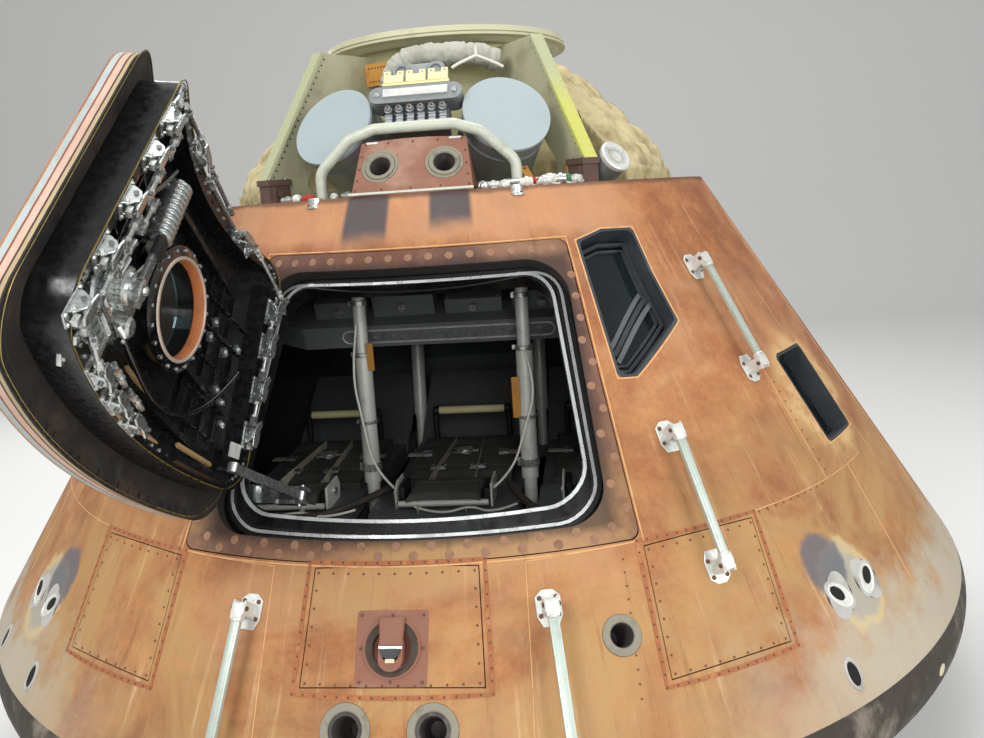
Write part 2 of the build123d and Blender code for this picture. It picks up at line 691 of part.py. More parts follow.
# Couch frame: cross beams on eight stroking struts
frame_parts = []
beam_drop = couch_height - 36
for y in (-700.0, 260.0):
    frame_parts.append(Pos(0, y, beam_drop - 30) * Box(2 * couch_pitch + couch_width, 60, 60))
couch_frame = frame_parts[0] + frame_parts[1]
for x in (-820.0, 820.0):
    couch_frame += Pos(x, -220, beam_drop - 30) * Box(50, 1020, 56)
strut_foot = hull_floor_height + hull_thickness + 26
strut_table = ((-650.0, -700.0, beam_drop - 40, -900.0, -1010.0, strut_foot),
               (650.0, -700.0, beam_drop - 40, 900.0, -1010.0, strut_foot),
               (-650.0, 260.0, beam_drop - 40, -900.0, 700.0, strut_foot),
               (650.0, 260.0, beam_drop - 40, 900.0, 700.0, strut_foot))
for x0, y0, z0, x1, y1, z1 in strut_table:
    start, end = Vector(x0, y0, z0), Vector(x1, y1, z1)
    direction = end - start
    couch_frame += Plane(origin=(start + end) * 0.5, z_dir=direction) * Cylinder(strut_radius, direction.length)
    couch_frame += Pos(x1, y1, hull_floor_height + hull_thickness + 12) * Cylinder(60, 24)
save(couch_frame, "couch_frame")

# Long struts that hang the couch frame from the forward end of the hull
hanger_table = ((-298.0, -632.0), (298.0, -632.0), (-298.0, 440.0), (298.0, 440.0))
hanger_room = (Pos(0, 0, (beam_drop + hull_top_height) / 2)
               * Box(max_radius * 2, max_radius * 2, hull_top_height - beam_drop))
hangers = []
for x, y in hanger_table:
    foot = Vector(couch_pitch / 2 * (1 if x > 0 else -1), -700.0 if y < 0 else 260.0, beam_drop - 12)
    head = Vector(x, y, hull_top_height + 12)
    direction = head - foot
    strut = Plane(origin=(foot + head) * 0.5, z_dir=direction) * Cylinder(strut_radius, direction.length)
    sleeve = Plane(origin=foot + direction * 0.35, z_dir=direction) * Cylinder(strut_radius + 7, direction.length * 0.4)
    hangers.append((strut + sleeve) & hanger_room)
save(Compound(children=hangers), "couch_hangers")

# Main display console over the couches, with two wings
console_plane = Plane(origin=(0, -250, 1690), x_dir=(1, 0, 0), z_dir=(0, 0.35, -1))
console_outline = make_face(Polyline((-console_half_width, -150), (-300, -330), (300, -330),
                                     (console_half_width, -150), (console_half_width, 200), (560, 300),
                                     (-560, 300), (-console_half_width, 200), close=True))
console = extrude(console_plane * fillet(console_outline.vertices(), 30), amount=console_thickness)
cabin_room = spun(make_face(Polyline(
    (0, 1300), (cone_radius(1300, hull_depth + hull_thickness + seat_gap), 1300),
    (cone_radius(1900, hull_depth + hull_thickness + seat_gap), 1900), (0, 1900), close=True)))
for side in (-1, 1):
    for y in (-100, 150):
        arm = box_on(console_plane, 460, 34, 20, 62, side * (console_half_width + 200), y)
        console += arm & cabin_room
save(console, "display_console")

# Equipment bay against the far wall
bay_inner = hull_inner_radius - 1
bay_floor = hull_floor_height + hull_thickness
bay_front = bay_inner - locker_depth
bay_back = cone_radius(locker_top, hull_depth + hull_thickness)
bay_outline = make_face(Polyline((bay_front, bay_floor), (bay_inner, bay_floor), (bay_inner, inner_knuckle),
                                 (bay_back - 1, locker_top), (bay_back - 180, locker_top),
                                 (bay_front, locker_bend), close=True))
bay_hollow = make_face(Polyline((bay_front + locker_wall, bay_floor - 1), (bay_inner + 400, bay_floor - 1),
                                (bay_inner + 400, locker_top - locker_wall),
                                (bay_back - 180 + locker_wall / 2, locker_top - locker_wall),
                                (bay_front + locker_wall, locker_bend - locker_wall / 2), close=True))
bay = Rot(0, 0, -bay_sweep / 2) * (spun(bay_outline, bay_sweep) - spun(bay_hollow, bay_sweep))
for turn in (-bay_sweep / 2 + 0.3, -bay_sweep / 6, bay_sweep / 6, bay_sweep / 2 - 0.3):
    bay += Rot(0, 0, turn) * extrude(Plane.XZ * bay_outline, amount=locker_wall / 2, both=True)
save(Rot(0, 0, 90) * bay, "equipment_bay")

# Hatch door, drawn closed and then swung open on its hinge
hinge_plane = Plane(cone_plane(hinge_az, hatch_middle, -hinge_rise) * Rot(0, 0, hinge_lean))
hinge_axis = Axis(hinge_plane.origin, hinge_plane.y_dir)


def opened(shape):
    return shape.rotate(hinge_axis, -hatch_open_angle)


window_on_door = cone_plane(0, door_window_height)
door_window_hole = through(Circle(door_window_radius + door_window_ring + seat_gap), window_on_door)
door_shield = (wall_only & through(hatch_outline(-hatch_gap), front)) - door_window_hole
save(opened(door_shield), "hatch_heat_shield")


def wall_between(outer_depth, inner_depth):
    low, high = hatch_bottom - 200, hatch_top + 200
    return spun(make_face(Polyline((cone_radius(low, outer_depth), low), (cone_radius(high, outer_depth), high),
                                   (cone_radius(high, inner_depth), high), (cone_radius(low, inner_depth), low),
                                   close=True)))


plate = wall_between(shield_thickness, shield_thickness + door_plate)
rim = wall_between(shield_thickness + door_plate - 1, door_depth)
door_outline = frame_outline(-14)
rim_outline = frame_outline(-14 - door_rim_width)
structure = plate & through(door_outline, front)
structure += rim & (through(door_outline, front) - through(rim_outline, front, 61, 261))
for height in (1340.0, 1470.0, 1720.0):
    band = box_on(cone_plane(0, height), 1300, 16, -door_depth + 16, -shield_thickness - door_plate + 1)
    structure += (band & through(rim_outline, front)) & wall_between(shield_thickness, door_depth - 12)
track_face = make_face(Polyline(*[(cone_radius(height, depth), height) for height, depth in
                                  ((track_low, door_depth - 1), (track_low + 14, door_depth - 1),
                                   (track_low + 14, door_depth + track_rise), (track_low, door_depth + track_rise))],
                                close=True))
structure += Rot(0, 0, track_start - 90) * spun(track_face, track_sweep)
structure -= door_window_hole
save(opened(structure), "hatch_structure")

ring_depth = door_depth + 12
window_ring = revolve(Plane.XZ * make_face(Polyline(
    (door_window_radius, -ring_depth), (door_window_radius + door_window_ring, -ring_depth + 10),
    (door_window_radius + door_window_ring, -door_window_sink), (door_window_radius + 20, -door_window_sink),
    (door_window_radius, -46), close=True)), axis=Axis.Z)
save(opened(window_on_door * window_ring), "hatch_window_ring")
door_glass = window_on_door * Pos(0, 0, -70) * Cylinder(door_window_radius - seat_gap, door_pane)
save(opened(door_glass), "hatch_window_pane")

# Latch rollers and their links round the door's rim: how far along each side
latches = []


def under(x, y, depth):
    """Plane on the wall at a depth, square below a point of the plane at az 0."""
    sink = depth
    for _ in range(6):
        point = front.origin + front.x_dir * x + front.y_dir * y - front.z_dir * sink
        radius = sqrt(point.X ** 2 + point.Y ** 2)
        sink += (radius - cone_radius(point.Z, depth)) * cos(alpha)
    return cone_plane(degrees(atan(-point.X / point.Y)), point.Z + depth * sin(alpha), depth)


rim_middle = -14 - door_rim_width / 2
high, low = slope(hatch_top - frame_top_inset * cos(alpha)), slope(hatch_bottom + frame_bottom_inset * cos(alpha))
half_high, half_low = hatch_half_top - frame_side_inset, hatch_half_bottom - frame_side_inset
latch_spots = []
for rise, sides in ((-240.0, (1,)), (-110.0, (-1, 1)), (20.0, (-1, 1)), (150.0, (-1, 1)), (255.0, (-1, 1))):
    half = half_low + (rise - low) / (high - low) * (half_high - half_low) + rim_middle
    latch_spots += [(side * half, rise, 0) for side in sides]
for x, edge, inwards in ((60.0, low, -1), (165.0, low, -1), (270.0, low, -1), (-170.0, high, 1), (170.0, high, 1)):
    radius = cone_radius(hatch_middle)
    rise = (radius - sqrt(radius ** 2 - x ** 2)) * sin(alpha)
    latch_spots.append((x, edge + inwards * rim_middle + rise, 90))
for x, y, turn in latch_spots:
    plane = under(x, y, door_depth + seat_gap) * Rot(0, 0, turn)
    latches.append(plane * (Pos(0, 0, -10) * Box(34, 52, 20) + Pos(0, 0, -22) * Rot(0, 90, 0) * Cylinder(13, 30)))
save(opened(Compound(children=latches)), "hatch_latches")

gear_plane = under(gear_x, gear_y, shield_thickness + door_plate)
gearbox = box_on(gear_plane, gear_width, gear_length, -66, 0)
gearbox = fillet(gearbox.edges().filter_by(Axis(gear_plane.origin, gear_plane.z_dir)), 22)
gearbox += box_on(gear_plane, 150, 64, -50, 0, 20, -gear_length / 2 - 28)
gearbox += gear_plane * Pos(10, 20, -76) * Cylinder(42, 22)
gearbox += gear_plane * Pos(-62, -26, -74) * Cylinder(24, 18)
save(opened(gearbox - structure), "hatch_gearbox")
handle = box_on(gear_plane, 34, 150, -108, -92, 10, 75) + gear_plane * Pos(10, 20, -98) * Cylinder(24, 22)
save(opened(handle), "hatch_handle")

bottle_plane = under(bottle_x, bottle_y, shield_thickness + door_plate)
bottle = bottle_plane * Pos(0, 0, -40) * Rot(90, 0, 0) * Cylinder(28, bottle_length)
for k in range(5):
    bottle += bottle_plane * Pos(0, bottle_length * (k / 5 - 0.4), -40) * Rot(90, 0, 0) * Cylinder(33, 9)
for y in (-50, 50):
    bottle += box_on(bottle_plane, 44, 20, -40, 0, 0, y)
save(opened(bottle - structure), "hatch_gas_bottle")

# Hinge arms on the door and the lugs that hold their pins
arms = []
lugs = []
for spot in hinge_spots:
    plane = Plane(hinge_plane * Pos(0, spot, 0))
    knuckle = plane * Rot(90, 0, 0) * (Cylinder(hinge_knuckle_radius, hinge_knuckle_length)
                                       - Cylinder(hinge_pin_radius + 0.1, hinge_knuckle_length + 2))
    strap_low = -hinge_rise + hinge_arm_clearance
    strap = box_on(plane, hinge_arm_reach - 8, hinge_knuckle_length, strap_low, strap_low + hinge_arm_thickness,
                   hinge_arm_reach / 2 + 4)
    pad = box_on(plane, hinge_arm_reach - 82, hinge_arm_width, -60, strap_low + hinge_arm_thickness,
                 hinge_arm_reach / 2 + 41)
    clear_pin = plane * Rot(90, 0, 0) * Cylinder(hinge_pin_radius + 0.1, hinge_knuckle_length + 2)
    arms.append(opened((knuckle + strap + pad - clear_pin) - outer_cone))
    lug = box_on(plane, 76, 2 * 26 + hinge_knuckle_length, -hinge_rise + 0, -hinge_rise + 5, -34)
    for side in (-1, 1):
        y = side * (hinge_knuckle_length / 2 + hinge_side_gap + 11)
        lug += plane * Pos(0, y, 0) * Rot(90, 0, 0) * Cylinder(hinge_knuckle_radius, 22)
        lug += box_on(plane, 54, 22, -hinge_rise, 0, -27, y)
        lug += box_on(plane, 2 * hinge_knuckle_radius - 6, 22, -hinge_rise, 0, 0, y)
    lug += plane * Rot(90, 0, 0) * Cylinder(hinge_pin_radius, hinge_knuckle_length + 48)
    room = plane * Rot(90, 0, 0) * (Cylinder(hinge_knuckle_radius + 4, hinge_knuckle_length + 2 * hinge_side_gap)
                                    - Cylinder(hinge_pin_radius, hinge_knuckle_length + 4))
    lugs.append(lug - room)
save(Compound(children=arms), "hatch_hinge_arms")
save(Compound(children=lugs), "hatch_hinge_lugs")

# Hatch stay, drawn in the plane across the hinge axis
stay_plane = Plane(hinge_plane * Pos(0, stay_spot, 0))
across = Plane(origin=stay_plane.origin, x_dir=stay_plane.x_dir, z_dir=-stay_plane.y_dir)
stay_base = across * Pos(stay_across, -stay_drop, 0) * Rot(0, 0, stay_open_angle)
arm = stay_base * Pos(stay_length / 2, 0, 0) * Box(stay_length, stay_thickness, stay_width)
for x in (0, stay_length):
    arm += stay_base * Pos(x, 0, 0) * Cylinder(15, stay_width)
arm -= stay_base * Cylinder(stay_pin_radius + 0.1, stay_width + 2)
save(arm, "hatch_stay")
stay_pin = across * Pos(stay_across, -stay_drop, 0) * Cylinder(stay_pin_radius, stay_width + 40)
cheek_middle = stay_width / 2 + stay_side_gap + stay_cheek / 2
stay_foot = stay_pin
for side in (-1, 1):
    stay_foot += across * Pos(stay_across - 36, -stay_drop - 2, side * cheek_middle) * Box(110, 26, stay_cheek)
foot_low = hinge_rise + frame_depth + seat_gap
foot_thick = stay_drop - 6 - foot_low + 13
stay_foot += (across * Pos(5, -foot_low + 13 - foot_thick / 2, 0)
              * Box(190, foot_thick, 2 * (cheek_middle + stay_cheek / 2)))
stay_foot -= wall_between(0, hull_depth + hull_thickness + seat_gap)
stay_foot -= wall_between(0, frame_depth + seat_gap) & through(hatch_outline(2), front)
stay_foot -= wall_between(0, door_depth + track_rise + 6) & through(frame_outline(1), front)
save(stay_foot, "hatch_stay_foot")
print("hinge point in m", [round(v / 1000, 5) for v in hinge_plane.origin],
      "axis", [round(v, 5) for v in hinge_plane.y_dir])
print("stay pin in m", [round(v / 1000, 5) for v in stay_base.position],
      "travel in degrees", stay_open_angle - stay_closed_angle)
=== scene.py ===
# %% [markdown]
# # A flown space capsule
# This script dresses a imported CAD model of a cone-shaped crew capsule that came back from space. The CAD
# gives every hard form and every joint. Here it gets its scorched skin, its cloth, its latch work and its
# small parts. The frame is loaded first and never moved, so each new piece is placed by the same numbers as
# the CAD.

# %% Load the frame
import random
from math import asin, atan2, copysign, cos, degrees, exp, hypot, pi, radians, sin, sqrt, tan

import bmesh
import bpy
from mathutils import Matrix, Vector, noise


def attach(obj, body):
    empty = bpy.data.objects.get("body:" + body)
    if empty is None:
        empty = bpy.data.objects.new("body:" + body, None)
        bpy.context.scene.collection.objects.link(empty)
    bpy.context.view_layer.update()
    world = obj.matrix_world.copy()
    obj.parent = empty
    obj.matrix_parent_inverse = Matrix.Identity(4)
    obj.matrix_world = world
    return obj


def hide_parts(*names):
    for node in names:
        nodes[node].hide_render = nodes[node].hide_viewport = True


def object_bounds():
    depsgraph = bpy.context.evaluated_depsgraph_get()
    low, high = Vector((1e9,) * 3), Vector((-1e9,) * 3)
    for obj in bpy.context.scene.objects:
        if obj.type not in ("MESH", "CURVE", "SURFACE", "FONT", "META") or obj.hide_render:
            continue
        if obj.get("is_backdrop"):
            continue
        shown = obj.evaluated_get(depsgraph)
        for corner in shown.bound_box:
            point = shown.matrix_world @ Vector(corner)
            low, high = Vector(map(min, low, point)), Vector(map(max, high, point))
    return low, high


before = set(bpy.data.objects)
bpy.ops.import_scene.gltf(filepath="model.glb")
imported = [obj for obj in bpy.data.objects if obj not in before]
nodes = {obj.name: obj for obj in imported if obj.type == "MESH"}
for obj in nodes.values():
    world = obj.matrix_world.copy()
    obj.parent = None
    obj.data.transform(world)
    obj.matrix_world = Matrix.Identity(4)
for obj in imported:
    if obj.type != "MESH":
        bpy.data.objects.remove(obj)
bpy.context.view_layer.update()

# %% [markdown]
# The capsule is a cone with a half angle of 33 degrees that stands on its dished base. Almost every small
# part sits on that cone, so the first helper turns an angle round the axis and a height into a place on the
# skin. A place is a matrix: x to the right, y up the slope and z straight out of the skin. Angles start at
# the hatch side and grow to the right.

# %% Places on the cone
LEAN = radians(33)
APEX = 3.62387
HATCH_MIDDLE = 1.511


def cone_radius(height, depth=0.0):
    return (APEX - height) * tan(LEAN) - depth / cos(LEAN)


def on_cone(az, height, lift=0.0):
    """Place on the skin at an angle in degrees and a height in metres, lifted out of the skin."""
    a = radians(az)
    out = Vector((cos(LEAN) * sin(a), -cos(LEAN) * cos(a), sin(LEAN)))
    right = Vector((cos(a), sin(a), 0))
    radius = cone_radius(height)
    point = Vector((radius * sin(a), -radius * cos(a), height)) + out * lift
    place = Matrix((right, out.cross(right), out)).transposed().to_4x4()
    place.translation = point
    return place


def moved(x=0.0, y=0.0, z=0.0):
    return Matrix.Translation((x, y, z))


def turned(angle, axis="Z"):
    return Matrix.Rotation(radians(angle), 4, axis)


front = on_cone(0, HATCH_MIDDLE)


def at_depth(x, y, depth):
    """Place in the wall at a depth, square below the point (x, y) of the plane that touches the front."""
    sink = depth
    for _ in range(6):
        point = front @ Vector((x, y, -sink))
        sink += (hypot(point.x, point.y) - cone_radius(point.z, depth)) * cos(LEAN)
    az = degrees(atan2(point.x, -point.y))
    return on_cone(az, point.z + depth * sin(LEAN), -depth)


print("cone radius at the seam and at the rim", round(cone_radius(0.637), 3), round(cone_radius(2.066), 3))

# %% [markdown]
# The photograph was taken from a little right of the hatch, from just above it, with a wide lens and a
# slight tilt. The numbers below come from matching the rims, the hatchway and the windows of the CAD to the
# picture.

# %% The camera
def aim_camera(place, heading, pitch, roll, focal, width=984.0):
    h, p, r = (radians(v) for v in (heading, pitch, roll))
    look = Vector((sin(h) * cos(p), cos(h) * cos(p), sin(p)))
    level = look.cross(Vector((0, 0, 1))).normalized()
    up = level.cross(look)
    right = cos(r) * level + sin(r) * up
    high = -sin(r) * level + cos(r) * up
    data = bpy.data.cameras.new("photographer")
    data.sensor_width = 36.0
    data.lens = focal / width * 36.0
    data.clip_start, data.clip_end = 0.05, 60
    camera = bpy.data.objects.new("photographer", data)
    camera.matrix_world = Matrix((right, high, -look)).transposed().to_4x4()
    camera.location = place
    bpy.context.scene.collection.objects.link(camera)
    bpy.context.scene.camera = camera
    return camera


camera = aim_camera(place=(0.51214, -3.59581, 2.02948), heading=-6.529, pitch=-11.475, roll=-3.835,
                    focal=831.0)
print("lens in mm", round(camera.data.lens, 2))

# %% [markdown]
# A pale floor and five large soft lamps light the capsule evenly, as in a photo studio. The floor bends up
# into a backdrop far behind, so no edge shows. Colours are rendered plainly, with no film look.

# %% Floor, backdrop and lamps
scene = bpy.context.scene
scene.view_settings.view_transform = "Standard"


def plain(name, colour, roughness=0.9):
    material = bpy.data.materials.new(name)
    material.use_nodes = True
    shader = material.node_tree.nodes["Principled BSDF"]
    shader.inputs["Base Color"].default_value = (*colour, 1)
    shader.inputs["Roughness"].default_value = roughness
    return material


def studio_sweep(reach=16.0, back=13.0, rise=10.0, bend=4.0):
    mesh = bmesh.new()
    line = [(-reach, 0.0), (back - bend, 0.0)]
    line += [(back - bend + bend * sin(a), bend - bend * cos(a))
             for a in [pi / 2 * k / 12 for k in range(1, 13)]]
    line.append((back, rise))
    rows = [[mesh.verts.new((x, y, z - 0.001)) for y, z in line] for x in (-reach, reach)]
    for k in range(len(line) - 1):
        mesh.faces.new((rows[0][k], rows[1][k], rows[1][k + 1], rows[0][k + 1]))
    data = bpy.data.meshes.new("studio_sweep")
    mesh.to_mesh(data)
    mesh.free()
    floor = bpy.data.objects.new("studio_sweep", data)
    data.materials.append(plain("studio_paper", (0.8, 0.8, 0.79)))
    data.polygons.foreach_set("use_smooth", [True] * len(data.polygons))
    scene.collection.objects.link(floor)
    floor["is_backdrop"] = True


def soft_lamp(name, place, target, size, power):
    data = bpy.data.lights.new(name, "AREA")
    data.shape, data.size, data.energy = "SQUARE", size, power
    lamp = bpy.data.objects.new(name, data)
    lamp.location = place
    lamp.rotation_euler = (Vector(target) - Vector(place)).to_track_quat("-Z", "Y").to_euler()
    scene.collection.objects.link(lamp)


studio_sweep()
soft_lamp("key", (-3.4, -6.0, 6.2), (0, 0, 1.2), 3.0, 330)
soft_lamp("fill", (5.5, -4.5, 3.6), (0, 0, 1.2), 3.5, 190)
soft_lamp("top", (0.5, 0.5, 7.5), (0, 0, 1.5), 4.0, 200)
soft_lamp("rear", (-3.5, 6.0, 4.5), (0, 0, 1.3), 4.0, 200)
soft_lamp("front", (0.9, -5.6, 2.9), (0, -0.6, 1.4), 1.6, 70)
world = bpy.data.worlds.new("studio")
scene.world = world
world.use_nodes = True
world.node_tree.nodes["Background"].inputs["Color"].default_value = (1, 1, 1, 1)
world.node_tree.nodes["Background"].inputs["Strength"].default_value = 0.45

# %% [markdown]
# Every finish here is a small tree of shader nodes, so nothing is stored as a picture. The class below only
# gives the same few nodes short names: a noise, a colour ramp, a mix, a bump and masks by place. Colours
# are written as the 0 to 255 values that a paint chart uses, and turned into the linear values that Blender
# works with.

# %% A short way to write finishes
def paint(red, green, blue):
    def linear(v):
        v /= 255
        return v / 12.92 if v <= 0.04045 else ((v + 0.055) / 1.055) ** 2.4
    return (linear(red), linear(green), linear(blue), 1.0)


class Finish:
    """A procedural material. Its methods return node outputs, or plain numbers pass through."""

    def __init__(self, name, colour=None, roughness=0.5, metallic=0.0, closing=None, **sockets):
        self.material = bpy.data.materials.new(name)
        self.material.use_nodes = True
        self.tree = self.material.node_tree
        self.shader = self.tree.nodes["Principled BSDF"]
        self.place = self.node("ShaderNodeTexCoord").outputs["Object"]
        if closing:
            shut = self.node("ShaderNodeMapping")
            self.feed(shut.inputs["Vector"], self.place)
            shut.inputs["Location"].default_value = closing.translation
            shut.inputs["Rotation"].default_value = closing.to_euler("XYZ")
            self.place = shut.outputs["Vector"]
        self.shader.inputs["Roughness"].default_value = roughness
        self.shader.inputs["Metallic"].default_value = metallic
        for socket, value in sockets.items():
            self.shader.inputs[socket.replace("_", " ")].default_value = value
        if colour is not None:
            self.put("Base Color", colour)

    def node(self, kind, **values):
        made = self.tree.nodes.new(kind)
        for name, value in values.items():
            setattr(made, name, value)
        return made

    def feed(self, socket, value):
        if isinstance(value, bpy.types.NodeSocket):
            self.tree.links.new(value, socket)
        else:
            socket.default_value = value

    def put(self, name, value):
        self.feed(self.shader.inputs[name], value)
        return self

    def stretched(self, x=1.0, y=1.0, z=1.0):
        node = self.node("ShaderNodeMapping")
        self.feed(node.inputs["Vector"], self.place)
        node.inputs["Scale"].default_value = (x, y, z)
        return node.outputs["Vector"]

    def noise(self, scale, detail=4.0, roughness=0.55, at=None, warp=0.0):
        node = self.node("ShaderNodeTexNoise")
        self.feed(node.inputs["Vector"], at or self.place)
        node.inputs["Scale"].default_value = scale
        node.inputs["Detail"].default_value = detail
        node.inputs["Roughness"].default_value = roughness
        node.inputs["Distortion"].default_value = warp
        return node.outputs["Fac"]

    def cells(self, scale, feature="F1", at=None):
        node = self.node("ShaderNodeTexVoronoi", feature=feature)
        self.feed(node.inputs["Vector"], at or self.place)
        node.inputs["Scale"].default_value = scale
        return node.outputs["Distance"]

    def ramp(self, value, *stops):
        node = self.node("ShaderNodeValToRGB")
        self.feed(node.inputs["Fac"], value)
        points = node.color_ramp.elements
        while len(points) < len(stops):
            points.new(0.5)
        for point, (where, colour) in zip(points, stops):
            point.position = where
            point.color = colour if isinstance(colour, tuple) else (colour, colour, colour, 1)
        return node.outputs["Color"]

    def mix(self, share, first, second, how="MIX"):
        node = self.node("ShaderNodeMix", data_type="RGBA", blend_type=how)
        self.feed(node.inputs[0], share)
        self.feed(node.inputs[6], first)
        self.feed(node.inputs[7], second)
        return node.outputs[2]

    def sum(self, how, first, second=0.5, third=0.5):
        node = self.node("ShaderNodeMath", operation=how)
        for socket, value in zip(node.inputs, (first, second, third)):
            self.feed(socket, value)
        return node.outputs[0]

    def times(self, first, second):
        return self.sum("MULTIPLY", first, second)

    def unrolled(self, az, across, height, along):
        """The skin laid flat: angle and height as x and y for a noise, each with its own scale."""
        node = self.node("ShaderNodeCombineXYZ")
        self.feed(node.inputs[0], self.times(az, across))
        self.feed(node.inputs[1], self.times(height, along))
        return node.outputs[0]

    def span(self, value, low, high, out_low=0.0, out_high=1.0):
        node = self.node("ShaderNodeMapRange", interpolation_type="SMOOTHSTEP")
        for name, number in (("Value", value), ("From Min", low), ("From Max", high), ("To Min", out_low),
                             ("To Max", out_high)):
            self.feed(node.inputs[name], number)
        return node.outputs["Result"]

    def bump(self, height, strength=0.3, depth=0.002):
        node = self.node("ShaderNodeBump")
        node.inputs["Strength"].default_value = strength
        node.inputs["Distance"].default_value = depth
        self.feed(node.inputs["Height"], height)
        before = self.shader.inputs["Normal"].links
        if before:
            self.feed(node.inputs["Normal"], before[0].from_socket)
        self.feed(self.shader.inputs["Normal"], node.outputs["Normal"])
        return self

    def axis(self, name):
        node = self.node("ShaderNodeSeparateXYZ")
        self.feed(node.inputs[0], self.place)
        return node.outputs[name]

    def turn_round_axis(self):
        """Angle round the capsule in degrees, 0 at the hatch side, growing to the right."""
        angle = self.sum("ARCTAN2", self.axis("X"), self.times(self.axis("Y"), -1.0))
        return self.times(angle, 180 / pi)

    def depth_in_wall(self):
        """How deep a point lies under the cone, in metres, square to it."""
        x, y = self.axis("X"), self.axis("Y")
        radius = self.sum("SQRT", self.sum("MULTIPLY_ADD", x, x, self.times(y, y)))
        full = self.times(self.sum("SUBTRACT", APEX, self.axis("Z")), tan(LEAN))
        return self.times(self.sum("SUBTRACT", full, radius), cos(LEAN))

    def near(self, point, reach, soft):
        """1 close to a point, falling to 0 between reach and reach + soft metres."""
        node = self.node("ShaderNodeVectorMath", operation="DISTANCE")
        self.feed(node.inputs[0], self.place)
        node.inputs[1].default_value = point
        return self.span(node.outputs["Value"], reach, reach + soft, 1.0, 0.0)


def dress(material, *names):
    """Gives a finish to CAD nodes."""
    for name in names:
        nodes[name].data.materials.clear()
        nodes[name].data.materials.append(material)


# %% [markdown]
# The skin is a resin honeycomb that charred and then weathered to orange and tan. Close up it shows rust
# spots, pale rubbed patches, streaks that run up the slope and the fine cells themselves. Its colour comes
# from three sizes of noise mixed together, because one noise alone always looks like a marble pattern.

# %% The ground colour of the skin
def ground_colour(skin, dark, middle, light, pale_share, az, height):
    """Rust and tan from three sizes of noise, and the noise of the spots."""
    broad = skin.noise(1.7, 6, 0.62, warp=0.6)
    spots = skin.noise(9.0, 6, 0.65)
    grain = skin.noise(70.0, 3, 0.6)
    tone = skin.sum("MULTIPLY_ADD", spots, 0.42, skin.times(broad, 0.58))
    tone = skin.sum("MULTIPLY_ADD", grain, 0.16, skin.sum("ADD", tone, -0.08))
    colour = skin.ramp(tone, (0.3, dark), (0.47, middle), (0.6, light), (0.78, paint(192, 158, 112)))
    # Large clouds: pinkish tan where the char rubbed off, brown where it stayed
    cloud = skin.noise(0.9, 4, 0.55, warp=1.2, at=skin.stretched(1.0, 1.0, 1.6))
    colour = skin.mix(skin.span(cloud, 0.5, 0.64, 0.0, 0.42), colour, paint(190, 148, 108))
    colour = skin.mix(skin.span(cloud, 0.48, 0.34, 0.0, 0.46), colour, paint(112, 66, 38))
    # Yellowish tan in loose patches on the lower half
    loose = skin.span(skin.noise(2.3, 6, 0.66, warp=0.9), 0.38, 0.62, 0.1, 0.85)
    colour = skin.mix(skin.times(loose, skin.span(height, 1.55, 0.98)), colour, paint(168, 132, 84))
    # Streaks up the slope: noise in angle and height, squeezed across
    streak = skin.noise(1.0, 5, 0.7, at=skin.unrolled(az, 0.9, height, 2.0))
    colour = skin.mix(skin.span(streak, 0.56, 0.74, 0.0, pale_share), colour, paint(221, 190, 148))
    colour = skin.mix(skin.span(streak, 0.44, 0.3, 0.0, 0.35), colour, dark)
    # Level hoops, as the bands of the honeycomb were laid round the cone
    hoop = skin.noise(1.0, 4, 0.6, at=skin.unrolled(az, 0.06, height, 14.0))
    return skin.mix(skin.span(hoop, 0.58, 0.75, 0.0, 0.3), colour, paint(196, 124, 66)), spots


print("sizes of noise in the skin: 1.7, 9 and 70 to the metre")

# %% [markdown]
# Soot and char lie where the real flight put them, so they are painted by place: pale grey along the lower
# edge, bare patches round the roll engines, black under the two upper engines. A ragged noise is added to
# each mask before it is cut off, which tears its edge.

# %% Soot, char and rubbed places
ROLL_ENGINES = (44.5, -44.5)
UPPER_SOOT = ((-11.6, -3.7, 1.93), (3.2, 10.4, 1.96))


